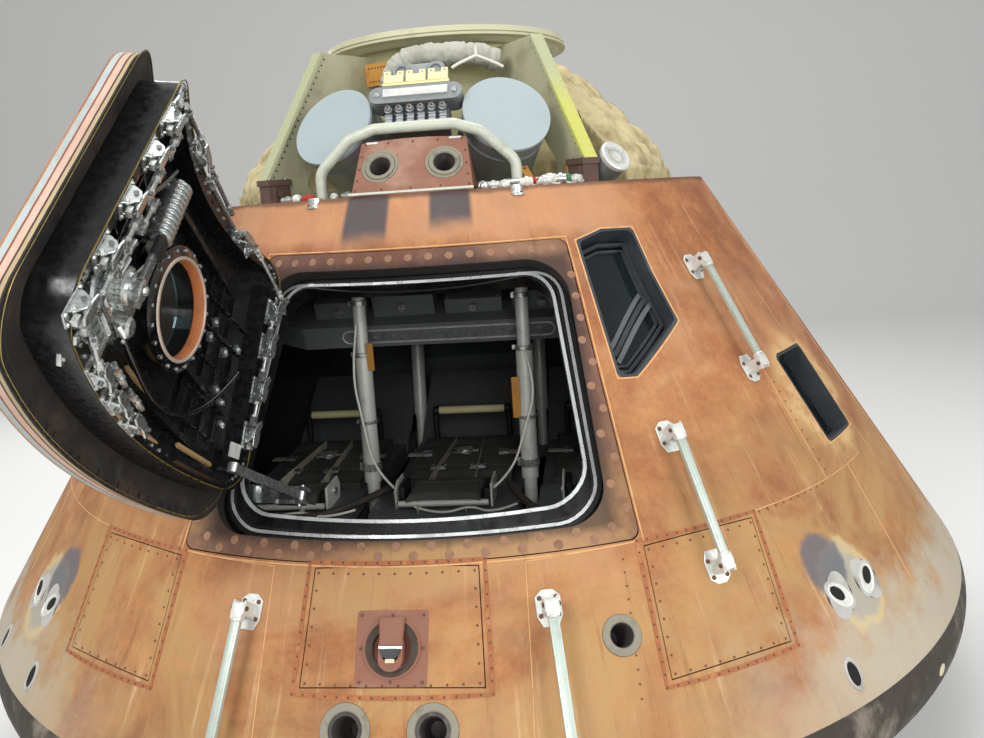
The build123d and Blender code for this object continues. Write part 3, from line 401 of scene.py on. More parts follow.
def stained(skin, colour, az, height):
    rag = skin.noise(6.0, 5, 0.7)
    side = skin.sum("ABSOLUTE", az)
    # Pale grey char along the lower edge, widest at the sides
    low = skin.span(skin.sum("MULTIPLY_ADD", rag, 0.5, height), 1.14, 0.94)
    low = skin.times(low, skin.span(side, 20, 46))
    colour = skin.mix(skin.times(low, 0.8), colour, paint(172, 168, 152))
    # Rubbed, pinkish band between the hatchway and the upper rim
    pink = skin.span(skin.sum("MULTIPLY_ADD", rag, 0.1, height), 1.94, 2.0)
    pink = skin.times(pink, skin.span(side, 46, 30))
    colour = skin.mix(skin.times(pink, 0.45), colour, paint(200, 150, 112))
    # Bare patches round the roll engines, with soot above them
    for spot in ROLL_ENGINES:
        bare = skin.near(on_cone(spot, 0.875).translation, 0.03, 0.2)
        bare = skin.sum("MULTIPLY_ADD", rag, 1.1, skin.sum("ADD", bare, -0.55))
        colour = skin.mix(skin.span(bare, 0.36, 0.56, 0.0, 0.7), colour, paint(196, 176, 132))
        colour = skin.mix(skin.span(bare, 0.52, 0.8, 0.0, 0.8), colour, paint(150, 150, 142))
        above = on_cone(spot - 2.2 * copysign(1, spot), 0.945).translation
        soot = skin.sum("MULTIPLY_ADD", rag, 1.2, skin.near(above, 0.02, 0.14))
        colour = skin.mix(skin.span(soot, 0.96, 1.24, 0.0, 0.85), colour, paint(88, 90, 98))
    # Black under the upper engines: left and right end in degrees, and the height where it ends
    for left, right, end in UPPER_SOOT:
        across = skin.times(skin.span(az, left - 0.4, left + 0.6), skin.span(az, right + 0.4, right - 0.6))
        down = skin.span(skin.sum("MULTIPLY_ADD", rag, 0.06, height), end, end + 0.07)
        colour = skin.mix(skin.times(skin.times(across, down), 0.93), colour, paint(66, 65, 70))
    # Worn skin round the side windows, and the dark upper rim
    for spot in (59.0, -59.0):
        worn = skin.near(on_cone(spot, 1.33).translation, 0.17, 0.1)
        worn = skin.times(worn, skin.span(rag, 0.36, 0.6))
        colour = skin.mix(skin.times(worn, 0.7), colour, paint(208, 178, 124))
    rim = skin.span(skin.sum("MULTIPLY_ADD", rag, 0.03, height), 2.062, 2.078)
    return skin.mix(skin.times(rim, 0.7), colour, paint(66, 44, 36))


print("stained places", len(ROLL_ENGINES) + len(UPPER_SOOT) + 4)

# %% [markdown]
# Where the ablator is cut through, its edge shows. Round the hatchway it is burnt black. On the open door
# the cut shows the layers of the wall: pale cloth, brown resin and a dark core. Both are painted by
# depth under the cone.

# %% Cut edges of the ablator
TOP_HALF, WIDENS = 0.461, 0.1475
LAYERS = ((0.004, paint(164, 174, 172)), (0.017, paint(128, 68, 46)), (0.021, paint(196, 164, 146)),
          (0.034, paint(66, 46, 38)), (0.038, paint(170, 152, 118)), (0.0455, paint(22, 20, 18)))


def charred_edge(skin, colour, height, depth):
    """The hatchway's own edge is black, and the char fades outwards over a hand's width."""
    half = skin.sum("MULTIPLY_ADD", height, -WIDENS, TOP_HALF + 1.85 * WIDENS)
    across = skin.sum("DIVIDE", skin.sum("ABSOLUTE", skin.axis("X")), half)
    upward = skin.sum("ABSOLUTE", skin.sum("SUBTRACT", height, HATCH_MIDDLE))
    far = skin.sum("MAXIMUM", across, skin.sum("DIVIDE", upward, 0.339))
    rag = skin.noise(12.0, 5, 0.7)
    near_edge = skin.span(skin.sum("MULTIPLY_ADD", rag, 0.1, far), 1.14, 1.04)
    colour = skin.mix(skin.times(near_edge, 0.75), colour, paint(40, 28, 26))
    return skin.mix(skin.span(depth, 0.002, 0.01), colour, paint(26, 20, 17))


def layered_edge(skin, colour, depth):
    """Layers from the outside in: the depth in metres where each one starts, and its colour under dirt."""
    rag = skin.sum("MULTIPLY_ADD", skin.noise(14.0, 5, 0.7), 0.003, -0.0015)
    dirt = skin.span(skin.noise(7.0, 6, 0.7, warp=0.5), 0.42, 0.72, 0.0, 0.65)
    for top, tint in LAYERS:
        layer = skin.mix(dirt, tint, skin.mix(0.45, tint, paint(96, 74, 58)))
        colour = skin.mix(skin.span(skin.sum("ADD", depth, rag), top, top + 0.0012), colour, layer)
    return colour


print("layers in the door's edge", len(LAYERS))

# %% [markdown]
# The skin, the bronze-brown panel round the hatchway and the door share one recipe. The door is open, so
# its finish first swings each point back to where it lies when the door is shut. Then its streaks and
# layers line up with the rest of the wall.

# %% The three skins
HINGE, HINGE_AXIS = Vector((-0.54138, -1.2754, 1.51971)), Vector((0.10724, 0.54235, 0.83328))
OPEN_ANGLE = radians(-86)
swing = (Matrix.Translation(HINGE) @ Matrix.Rotation(OPEN_ANGLE, 4, HINGE_AXIS)
         @ Matrix.Translation(-HINGE))
RUST = paint(98, 56, 33), paint(146, 90, 52), paint(170, 118, 74)
BRONZE = paint(58, 40, 36), paint(98, 66, 54), paint(124, 86, 68)


def scorched_skin(name, tones, pale_share=0.35, stains=True, closing=None, edge=""):
    skin = Finish(name, roughness=0.82, closing=closing)
    az, height = skin.turn_round_axis(), skin.axis("Z")
    colour, spots = ground_colour(skin, *tones, pale_share, az, height)
    if stains:
        colour = stained(skin, colour, az, height)
    if edge == "charred":
        colour = charred_edge(skin, colour, height, skin.depth_in_wall())
    if edge == "layers":
        colour = layered_edge(skin, colour, skin.depth_in_wall())
    skin.put("Base Color", colour)
    skin.put("Roughness", skin.span(spots, 0.3, 0.7, 0.68, 0.92))
    skin.bump(skin.cells(105.0, "DISTANCE_TO_EDGE"), 0.22, 0.0012)
    skin.bump(skin.noise(26.0, 6, 0.7), 0.35, 0.003)
    return skin.material


skin = scorched_skin("scorched_skin", RUST)
bronzed = scorched_skin("bronzed_surround", BRONZE, 0.1, False, edge="charred")
shut = swing.inverted() @ nodes["hatch_heat_shield"].matrix_world
door_skin = scorched_skin("door_skin", RUST, closing=shut, edge="layers")
dress(skin, "cone_heat_shield", "access_panels")
dress(door_skin, "hatch_heat_shield")
dress(bronzed, "hatch_surround")
print("skins", skin.name, bronzed.name, door_skin.name)

# %% [markdown]
# The metals, plastics and glass are simpler. Each has a little colour change and a bump at the scale of the
# real finish: brushing on the frame, cast grain on the nozzles, dust on the paint.

# %% Metals, paint, plastic and glass
def painted(name, colour, worn, roughness=0.55, metallic=0.0, scale=14.0, wear=0.25, fine=180.0, grain=0.12):
    made = Finish(name, roughness=roughness, metallic=metallic)
    patches = made.noise(scale, 6, 0.62)
    made.put("Base Color", made.mix(made.span(patches, 0.5, 0.74, 0.0, wear), paint(*colour), paint(*worn)))
    made.put("Roughness", made.span(made.noise(scale * 3, 4), 0.3, 0.7, roughness - 0.08, roughness + 0.12))
    made.bump(made.noise(fine, 3, 0.6), grain, 0.0006)
    return made.material


charred = painted("charred_edge", (58, 52, 46), (150, 140, 124), 0.9, wear=0.6, scale=7.0, fine=60.0)
hull_skin = painted("hull_skin", (96, 98, 98), (70, 70, 70), 0.5, 0.6)
door_black = painted("door_black", (14, 14, 15), (40, 40, 40), 0.28, scale=20.0)
latch_steel = painted("latch_steel", (190, 194, 192), (120, 124, 124), 0.26, 0.9, scale=30.0, grain=0.04)
slate = painted("window_slate", (44, 50, 54), (78, 84, 88), 0.62, scale=9.0, wear=0.5)
cream_olive = painted("cream_olive", (176, 172, 128), (120, 116, 84), 0.6, scale=8.0, wear=0.5)
gusset = Finish("gusset_green", roughness=0.55)
web_wear = gusset.span(gusset.noise(9.0, 6, 0.62), 0.46, 0.74, 0.0, 0.6)
web_paint = gusset.mix(web_wear, paint(174, 172, 142), paint(128, 124, 98))
low_right = gusset.times(gusset.span(gusset.axis("Z"), 2.5, 2.3), gusset.span(gusset.axis("X"), 0.0, 0.1))
flange_paint = gusset.mix(low_right, paint(168, 172, 136), paint(186, 188, 96))
on_flange = gusset.span(gusset.depth_in_wall(), 0.0255, 0.0245)
gusset.put("Base Color", gusset.mix(on_flange, web_paint, flange_paint))
gusset_green = gusset.bump(gusset.noise(150.0, 3, 0.6), 0.12, 0.0006).material
lid_blue = painted("lid_blue", (154, 166, 168), (136, 148, 150), 0.62, scale=4.0, wear=0.3)
tube_grey = painted("tube_grey", (186, 190, 174), (136, 138, 122), 0.45, 0.1, scale=14.0, wear=0.5)
ring_cream = painted("ring_cream", (190, 188, 156), (140, 136, 108), 0.55, scale=8.0, wear=0.5)
engine_brown = painted("engine_brown", (132, 88, 70), (164, 132, 112), 0.75, scale=4.0, wear=0.9)
fitting_brown = painted("fitting_brown", (88, 66, 58), (130, 92, 80), 0.7, scale=14.0, wear=0.6)
nozzle_grey = painted("nozzle_grey", (66, 62, 60), (124, 112, 104), 0.75, 0.2, scale=16.0, wear=0.5)
fitting_grey = painted("fitting_grey", (140, 144, 144), (98, 100, 100), 0.42, 0.6, scale=22.0)
rail_mint = painted("rail_mint", (176, 188, 178), (132, 138, 130), 0.38, 0.35, scale=40.0, wear=0.4)
couch_grey = painted("couch_grey", (96, 98, 100), (130, 132, 132), 0.5, 0.3)
panel_grey = painted("panel_grey", (84, 88, 90), (112, 114, 114), 0.55)
glass = Finish("heat_glass", paint(60, 74, 78), 0.06, Transmission_Weight=0.85, IOR=1.46).material
dress(charred, "aft_heat_shield")
dress(hull_skin, "pressure_hull")
frame_dark = painted("frame_dark", (34, 34, 34), (70, 70, 68), 0.3, 0.7, scale=12.0, wear=0.35)
dress(frame_dark, "hatch_frame")
dress(door_black, "hatch_structure", "hatch_window_ring")
dress(latch_steel, "hatch_latches", "hatch_gearbox", "hatch_handle", "hatch_gas_bottle", "hatch_hinge_arms",
      "hatch_hinge_lugs", "hatch_stay", "hatch_stay_foot")
dress(slate, "window_frames")
dress(cream_olive, "forward_deck", "docking_tunnel", "tunnel_hatch")
dress(ring_cream, "tunnel_ring")
dress(gusset_green, "forward_gussets")
dress(lid_blue, "mortar_lids")
dress(tube_grey, "arch_bar")
dress(engine_brown, "pitch_engine_housing", "steam_vent")
dress(fitting_brown, "apex_fittings")
dress(nozzle_grey, "forward_nozzles", "thruster_cups")
dress(fitting_grey, "mortar_tubes", "riser_unit", "pilot_canister")
dress(rail_mint, "handrails")
dress(couch_grey, "couches", "couch_frame", "couch_hangers")
dress(panel_grey, "display_console", "equipment_bay")
dress(glass, "window_panes", "hatch_window_pane")
dress(lid_blue, "wrapped_duct")
dress(cream_olive, "parachute_pack_left", "parachute_pack_right", "parachute_pack_rear")
dress(couch_grey, "couch_pads")
print("finishes", len(bpy.data.materials))

# %% [markdown]
# The small parts are turned, folded and bolted forms. Blender can hold thousands of them, but separate
# objects are slow, so each real part is gathered into one mesh. The class below keeps one rounded block,
# rod or turned form and stamps it at many places. Every edge gets a small bevel, as real metal catches the
# light along its edges.

# %% A bench for making small parts
class Part:
    """Gathers forms into one mesh. Each form has one of the finishes that the part was started with."""
    stamps = {}

    def __init__(self, *finishes):
        self.finishes = finishes
        self.points, self.faces, self.marks = [], [], []

    def stamp(self, key, make, where, finish):
        if key not in Part.stamps:
            mesh = bmesh.new()
            make(mesh)
            mesh.verts.index_update()
            faces = [[v.index for v in f.verts] for f in mesh.faces]
            Part.stamps[key] = ([v.co.copy() for v in mesh.verts], faces)
            mesh.free()
        points, faces = Part.stamps[key]
        start = len(self.points)
        self.points += [where @ p for p in points]
        flip = where.to_3x3().determinant() < 0
        self.faces += [[start + i for i in (reversed(f) if flip else f)] for f in faces]
        self.marks += [self.finishes.index(finish) if finish else 0] * len(faces)
        return self

    def block(self, where, x, y, z, bevel=0.002, finish=None):
        def make(mesh):
            bmesh.ops.create_cube(mesh, size=1)
            bmesh.ops.scale(mesh, vec=(x, y, z), verts=mesh.verts)
            if bevel:
                bmesh.ops.bevel(mesh, geom=mesh.edges, offset=min(bevel, 0.45 * min(x, y, z)), segments=2,
                                profile=0.7, affect="EDGES")
        return self.stamp(("block", x, y, z, bevel), make, where, finish)

    def turn(self, where, profile, sides=28, finish=None):
        """A turned form round Z from (radius, height) pairs that run up its outside."""
        def make(mesh):
            rings = []
            for radius, height in profile:
                if radius < 1e-6:
                    rings.append([mesh.verts.new((0, 0, height))])
                else:
                    rings.append([mesh.verts.new((radius * cos(a), radius * sin(a), height))
                                  for a in (2 * pi * k / sides for k in range(sides))])
            for low_ring, high_ring in zip(rings, rings[1:]):
                for k in range(sides):
                    after = (k + 1) % sides
                    corners = [low_ring[k % len(low_ring)], low_ring[after % len(low_ring)],
                               high_ring[after % len(high_ring)], high_ring[k % len(high_ring)]]
                    corners = list(dict.fromkeys(corners))
                    if len(corners) > 2:
                        mesh.faces.new(corners)
        return self.stamp(("turn", tuple(profile), sides), make, where, finish)

    def rod(self, where, radius, length, bevel=0.001, sides=20, finish=None):
        b, h = min(bevel, radius * 0.5, length * 0.4), length / 2
        profile = ((0, -h), (radius - b, -h), (radius, -h + b), (radius, h - b), (radius - b, h), (0, h))
        return self.turn(where, profile, sides, finish)

    def rivet(self, where, radius=0.004, height=0.0018, finish=None):
        profile = ((radius, 0), (radius * 0.92, height * 0.6), (radius * 0.5, height), (0, height))
        return self.turn(where, profile, 8, finish)

    def plate(self, where, outline, low, high, bevel=0.001, finish=None):
        """A flat plate with any outline, given as (x, y) pairs that run anticlockwise."""
        def make(mesh):
            base = [mesh.verts.new((x, y, low)) for x, y in outline]
            face = mesh.faces.new(base)
            up = bmesh.ops.extrude_face_region(mesh, geom=[face])["geom"]
            top = [g for g in up if isinstance(g, bmesh.types.BMVert)]
            bmesh.ops.translate(mesh, vec=(0, 0, high - low), verts=top)
            bmesh.ops.recalc_face_normals(mesh, faces=mesh.faces)
            if bevel:
                edges = [e for e in mesh.edges if abs(e.verts[0].co.z - e.verts[1].co.z) < 1e-9]
                bmesh.ops.bevel(mesh, geom=edges, offset=bevel, segments=1, affect="EDGES")
        return self.stamp(("plate", tuple(outline), low, high, bevel), make, where, finish)

    def ribbon(self, places, width, high, low=-0.0015, closed=False, finish=None):
        """A raised strip along places on the skin. width may be a pair: left and right of the line."""
        left, right = width if isinstance(width, tuple) else (width / 2, width / 2)
        count, start = len(places), len(self.points)
        for k, place in enumerate(places):
            before = places[k - 1] if k or closed else place
            after = places[(k + 1) % count] if k < count - 1 or closed else place
            out = place.to_3x3().col[2].normalized()
            along = (after.translation - before.translation).normalized()
            side = along.cross(out).normalized()
            for across, lift in ((-left, low), (-left + 0.0008, high), (right - 0.0008, high), (right, low)):
                self.points.append(place.translation + side * across + out * lift)
        for k in range(count if closed else count - 1):
            a, b = start + 4 * k, start + 4 * ((k + 1) % count)
            self.faces += [[a + i, b + i, b + i + 1, a + i + 1] for i in range(3)]
            self.marks += [self.finishes.index(finish) if finish else 0] * 3
        if not closed:
            last = start + 4 * (count - 1)
            self.faces += [[start + i for i in range(4)], [last + i for i in (3, 2, 1, 0)]]
            self.marks += [self.finishes.index(finish) if finish else 0] * 2
        return self

    def tell(self, title):
        print(title, len(self.faces), "faces so far")

    def done(self, name, body="root", stands_for=(), sharp=35, shift=None):
        data = bpy.data.meshes.new(name)
        data.from_pydata([shift @ p for p in self.points] if shift else self.points, [], self.faces)
        for finish in self.finishes:
            data.materials.append(finish)
        data.polygons.foreach_set("material_index", self.marks)
        data.polygons.foreach_set("use_smooth", [True] * len(self.faces))
        data.set_sharp_from_angle(angle=radians(sharp))
        made = bpy.data.objects.new(name, data)
        scene.collection.objects.link(made)
        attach(made, body)
        if stands_for:
            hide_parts(*stands_for)
        print(name, "on", body, len(self.faces), "faces")
        return made


def pipes(name, finish, radius, routes, body="root", shift=None, sides=4):
    """Bent pipes or cables of one size, each along its own smooth line."""
    data = bpy.data.curves.new(name, "CURVE")
    data.dimensions = "3D"
    data.bevel_depth, data.bevel_resolution, data.resolution_u = radius, sides, 6
    data.use_fill_caps = True
    for route in routes:
        line = data.splines.new("NURBS")
        line.points.add(len(route) - 1)
        for point, place in zip(line.points, route):
            point.co = (*(shift @ Vector(place) if shift else place), 1)
        line.order_u = 3
        line.use_endpoint_u = True
    data.materials.append(finish)
    made = bpy.data.objects.new(name, data)
    scene.collection.objects.link(made)
    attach(made, body)
    print(name, "on", body, len(routes), "lines")
    return made


def between(start, end):
    """Place midway between two points, with z along the line, and the line's length."""
    start, end = Vector(start), Vector(end)
    along = end - start
    facing = along.to_track_quat("Z", "Y").to_matrix().to_4x4()
    return Matrix.Translation((start + end) / 2) @ facing, along.length

# %% [markdown]
# The skin carries round resin plugs over the bolts of the hatch surround, thin raised borders round each
# access panel and rows of small screws along them. The helpers walk along lines given by angle and height,
# so rows stay evenly spaced however the cone narrows.

# %% Plugs, borders and screws in the skin
plug_tan = painted("plug_tan", (140, 104, 80), (98, 68, 54), 0.8, scale=24.0, wear=0.8)
edge_tan = painted("edge_tan", (206, 158, 108), (150, 98, 62), 0.8, scale=25.0, wear=0.6)
border_brown = painted("border_brown", (150, 92, 56), (196, 138, 90), 0.8, scale=24.0, wear=0.5)
screw_dark = painted("screw_dark", (98, 66, 48), (160, 120, 90), 0.6, 0.3, scale=60.0)


def side_az(x, height):
    """Angle of a point at a distance x from the middle plane."""
    return degrees(asin(x / cone_radius(height)))


def walk(corners, step, closed=True):
    """Places on the skin about a step apart along straight lines between (az, height) corners."""
    ends = list(zip(corners, corners[1:] + corners[:1] if closed else corners[1:]))
    places = []
    for (az0, z0), (az1, z1) in ends:
        length = (on_cone(az1, z1).translation - on_cone(az0, z0).translation).length
        count = max(1, round(length / step))
        places += [on_cone(az0 + (az1 - az0) * k / count, z0 + (z1 - z0) * k / count) for k in range(count)]
    if not closed:
        places.append(on_cone(*corners[-1]))
    return places


def hatch_half(height):
    return 0.461 + (1.85 - height) / 0.678 * 0.1


def surround_half(height):
    return 0.47 + (1.902 - height) / 0.78 * 0.17


LOW_ROW, MIDDLE_ROW, HIGH_ROW = 1.138, 1.159, 1.877
plugs = Part(plug_tan, screw_dark)
plug_places = []
for k in range(-6, 7):
    plug_places.append((side_az(0.094 * k, MIDDLE_ROW), MIDDLE_ROW))
    if k < 6:
        plug_places.append((side_az(0.094 * (k + 0.5), LOW_ROW), LOW_ROW))
for k in range(-7, 8):
    plug_places.append((side_az(0.0615 * k, HIGH_ROW), HIGH_ROW))
for k in range(11):
    height = 1.195 + 0.06 * k
    for side in (-1, 1):
        near, far = hatch_half(height), surround_half(height)
        share = (0.3 if k % 2 else 0.72) if height < 1.62 else 0.55
        plug_places.append((side_az(side * (near + (far - near) * share), height), height))
for az, height in plug_places:
    place = on_cone(az, height)
    plugs.turn(place, ((0.0125, -0.001), (0.0122, 0.0006), (0.0095, 0.0012), (0, 0.0013)), 18)
plugs.done("surround_plugs")

# %% [markdown]
# Thin borders with screws run round the access panels and the surround. A raised strip of few faces follows
# the cone by itself.

# %% Borders of the panels and the surround
panel_corners = [[(-7.7, 1.112), (7.7, 1.112), (7.6, 0.862), (-7.6, 0.862)],
                 [(23.2, 1.106), (36.0, 1.106), (34.4, 0.822), (22.4, 0.822)],
                 [(-36.0, 1.106), (-23.2, 1.106), (-22.4, 0.822), (-34.4, 0.822)]]
PANEL_HEIGHT = 0.98


def grown(corners, across, up):
    """The corners of a panel pushed out from its middle by degrees across and metres up."""
    middle = sum(az for az, _ in corners) / 4
    return [(az + copysign(1, az - middle) * across, z + copysign(1, z - PANEL_HEIGHT) * up)
            for az, z in corners]


borders = Part(border_brown, screw_dark, edge_tan)
for corners in panel_corners:
    outline = grown(corners, 0.52, 0.012)
    borders.ribbon(walk(outline, 0.06), 0.013, 0.0014, closed=True)
    for place in walk(outline, 0.03):
        borders.rivet(place @ moved(z=0.0012), 0.0032, 0.0014, screw_dark)
    inner = grown(corners, -0.45, -0.011)
    for place in walk(inner, 0.042):
        borders.rivet(place, 0.0036, 0.0012, screw_dark)
surround_line = ([(side_az(-0.47 + 0.094 * k, 1.906), 1.906) for k in range(11)]
                 + [(side_az(surround_half(z) + 0.005, z), z) for z in (1.8, 1.6, 1.4, 1.2, 1.118)]
                 + [(side_az(0.64 - 0.107 * k, 1.116), 1.116) for k in range(1, 12)]
                 + [(side_az(-surround_half(z) - 0.005, z), z) for z in (1.118, 1.2, 1.4, 1.6, 1.8)])
borders.ribbon(walk(surround_line, 0.05), 0.005, 0.0012, closed=True, finish=edge_tan)
# Long seams, the same on both sides, by angle and height of each end, and two level ones round the back
SEAMS = ((11.9, 1.11, 10.8, 0.7), (11.9, 1.11, 22.0, 1.118), (36.6, 1.118, 60.0, 1.118),
         (49.6, 1.118, 49.6, 1.5), (55.5, 1.118, 54.0, 0.73), (75.0, 2.05, 75.0, 0.66),
         (118.0, 2.05, 118.0, 0.66), (158.0, 2.05, 158.0, 0.66))
for side in (-1, 1):
    for az0, z0, az1, z1 in SEAMS:
        seam = walk([(side * az0, z0), (side * az1, z1)], 0.08, closed=False)
        borders.ribbon(seam, 0.0035, 0.0009, finish=edge_tan)
for height in (1.118, 1.62):
    round_back = walk([(60.0, height), (300.0, height)], 0.1, closed=False)
    borders.ribbon(round_back, 0.0035, 0.0009, finish=edge_tan)
# Rows of screws beside the right-hand seams
for az0, z0, az1, z1 in ((20.9, 1.085, 19.6, 0.8), (37.2, 1.112, 48.4, 1.112), (50.3, 1.14, 50.3, 1.4)):
    for place in walk([(az0, z0), (az1, z1)], 0.034, closed=False):
        borders.rivet(place, 0.0032, 0.0012, screw_dark)
borders.done("panel_borders")

# %% [markdown]
# The handrails are pale tubes of rounded section. Each end sits in a forked bracket on a plate with four
# screws.

# %% Handrails
off_white = painted("bracket_white", (206, 208, 202), (132, 132, 126), 0.42, 0.35, scale=34.0, wear=0.5)
rails = Part(rail_mint, off_white, screw_dark)
foot_screw = ((0.0062, 0), (0.006, 0.0022), (0.0035, 0.0036), (0, 0.0036))
rail_table = ((46.8, 1.615), (-46.8, 1.615), (29.8, 1.182), (13.4, 0.85), (-13.4, 0.85))
foot_outline = [(-0.02, -0.046), (0.02, -0.046), (0.033, -0.02), (0.033, 0.03), (0.014, 0.046),
                (-0.014, 0.046), (-0.033, 0.03), (-0.033, -0.02)]
for az, height in rail_table:
    place = on_cone(az, height)
    rails.block(place @ moved(z=0.0535), 0.027, 0.4, 0.0135, 0.0055)
    rails.block(place @ moved(z=0.06), 0.013, 0.38, 0.004, 0.0015)
    for end in (-1, 1):
        foot = place @ moved(0, end * 0.188) @ turned(0 if end > 0 else 180)
        rails.plate(foot, foot_outline, 0, 0.0045, 0.0012, off_white)
        for x, y in ((-0.023, -0.018), (0.023, -0.018), (-0.022, 0.026), (0.022, 0.026)):
            rails.turn(foot @ moved(x, y, 0.0045), foot_screw, 14, screw_dark)
        for side in (-1, 1):
            prong = foot @ moved(side * 0.0165, 0.002, 0.031) @ turned(-9, "X")
            rails.block(prong, 0.0055, 0.036, 0.058, 0.0018, off_white)
            pin = foot @ moved(side * 0.0205, 0.004, 0.051) @ turned(90, "Y")
            rails.rod(pin, 0.0062, 0.006, sides=12, finish=screw_dark)
        rails.block(foot @ moved(0, 0.008, 0.026), 0.028, 0.024, 0.044, 0.003, off_white)
        rails.block(foot @ moved(0, -0.004, 0.0535), 0.0345, 0.044, 0.0215, 0.006, off_white)
        rails.rod(foot @ moved(0, -0.026, 0.0535) @ turned(90, "X"), 0.0165, 0.005, sides=16,
                  finish=off_white)
rails.done("handrail_set", stands_for=("handrails",))

# %% [markdown]
# The bay round the tunnel is full of gear. The riser unit has a stadium case, cream blocks above it and six
# bolts in front. All of it is placed on the unit's own plane, so one matrix carries the group.

# %% The riser unit
silver = painted("connector_silver", (196, 198, 194), (132, 132, 128), 0.3, 0.8, scale=60.0, grain=0.04)
wire_white = painted("wire_white", (214, 212, 200), (170, 164, 146), 0.6, scale=50.0)
wire_red = painted("wire_red", (170, 52, 40), (120, 44, 36), 0.6, scale=50.0)
wire_green = painted("wire_green", (70, 120, 84), (60, 84, 66), 0.6, scale=50.0)
wire_dark = painted("wire_dark", (52, 46, 42), (92, 80, 70), 0.7, scale=50.0)
tag_orange = painted("tag_orange", (190, 134, 58), (140, 88, 40), 0.7, scale=30.0, wear=0.5)
block_cream = painted("block_cream", (222, 212, 160), (178, 166, 120), 0.55, scale=20.0)
ring_grey = painted("ring_grey", (132, 128, 112), (92, 88, 78), 0.85, scale=30.0, wear=0.8)
foot_pale = painted("foot_pale", (170, 174, 178), (112, 114, 118), 0.5, 0.2, scale=30.0, wear=0.6)
# Near black for the floors of holes, bores and throats: painted shade where only darkness shows
painted_shade_black = painted("painted_shade_black", (14, 13, 12), (30, 28, 26), 0.9, scale=30.0)
RISER_HEIGHT = 2.392
BOLT_STEP = 0.036
riser = on_cone(0, RISER_HEIGHT)
gear = Part(fitting_grey, silver, block_cream, painted_shade_black, screw_dark, tag_orange, ring_grey,
            off_white, gusset_green, fitting_brown, foot_pale, tube_grey)
# Stadium case: a pale strip on its face and a bolt at each end
gear.block(riser @ moved(0, 0.004, -0.0035), 0.215, 0.03, 0.007, 0.0034, off_white)
for side in (-1, 1):
    gear.rod(riser @ moved(side * 0.128, 0, -0.004), 0.009, 0.008, finish=silver)
# Cream blocks over the case, each with two lugs and a notch between them
for x in (-0.074, 0, 0.074):
    gear.block(riser @ moved(x, 0.06, -0.009), 0.066, 0.03, 0.014, 0.002, block_cream)
    for lug in (-0.022, 0.022):
        gear.block(riser @ moved(x + lug, 0.082, -0.009), 0.022, 0.018, 0.014, 0.002, block_cream)
        gear.rod(riser @ moved(x + lug, 0.082, -0.001), 0.003, 0.002, sides=12, finish=fitting_grey)
gear.block(riser @ moved(0, 0.042, -0.012), 0.222, 0.012, 0.014, 0.002, block_cream)
# Six capped bolts in front, each on a ribbed foot
cap = ((0.0135, 0), (0.0135, 0.004), (0.0105, 0.0055), (0.0105, 0.012), (0.008, 0.015), (0, 0.0155))
for k in range(6):
    x = BOLT_STEP * (k - 2.5)
    head = riser @ moved(x, -0.052, -0.02)
    gear.turn(head, cap, 18, fitting_grey)
    gear.turn(head @ moved(z=0.0155), ((0.005, 0), (0.0045, 0.003), (0, 0.0032)), 6, screw_dark)
    gear.block(riser @ moved(x, -0.086, -0.037), 0.022, 0.056, 0.012, 0.004, foot_pale)
    for row in range(4):
        gear.block(riser @ moved(x, -0.066 - 0.013 * row, -0.0295), 0.024, 0.005, 0.004, 0.001, foot_pale)
    gear.rod(riser @ moved(x + 0.0095, -0.103, -0.041), 0.0042, 0.005, sides=10, finish=screw_dark)
# A grey block with two bores behind the case, each with a black disc of painted shade at its bottom
socket = ((0, -0.05), (0.03, -0.05), (0.034, -0.044), (0.034, -0.004), (0.03, 0), (0.019, 0), (0.017, -0.004),
          (0.016, -0.03), (0, -0.031))
for x in (-0.062, 0.055):
    cell = riser @ moved(x, 0.135, -0.052)
    gear.turn(cell, socket, 26, fitting_grey)
    gear.rod(cell @ moved(z=-0.026), 0.0158, 0.006, finish=painted_shade_black)
gear.block(riser @ moved(-0.003, 0.128, -0.085), 0.15, 0.074, 0.055, 0.006, fitting_grey)
# The orange plate's holes are thin black discs of painted shade, as real ones would need many more faces and
# look the same
plate = moved(-0.192, -0.398, 2.516) @ turned(-23.5) @ turned(90, "X")
gear.block(plate, 0.15, 0.08, 0.003, 0.001, tag_orange)
for column in range(9):
    for row in range(2):
        hole = plate @ moved(-0.056 + 0.014 * column, -0.024 + 0.048 * row, 0.0016)
        gear.rod(hole, 0.0032, 0.001, sides=10, finish=painted_shade_black)
for az, height, turn in ((24.3, 2.163, 12), (35.2, 2.17, -6)):
    tag = on_cone(az, height, -0.11) @ turned(turn)
    gear.block(tag, 0.028, 0.07, 0.002, 0.0008, tag_orange)
    # The tag's hole is a black disc of painted shade
    gear.rod(tag @ moved(0, 0.026, 0.0012), 0.004, 0.001, sides=10, finish=painted_shade_black)
gear.tell("plate and tags")

# %% [markdown]
# The two upper engines have worn grey rings. The arch tube over their box stands on bolted collars.

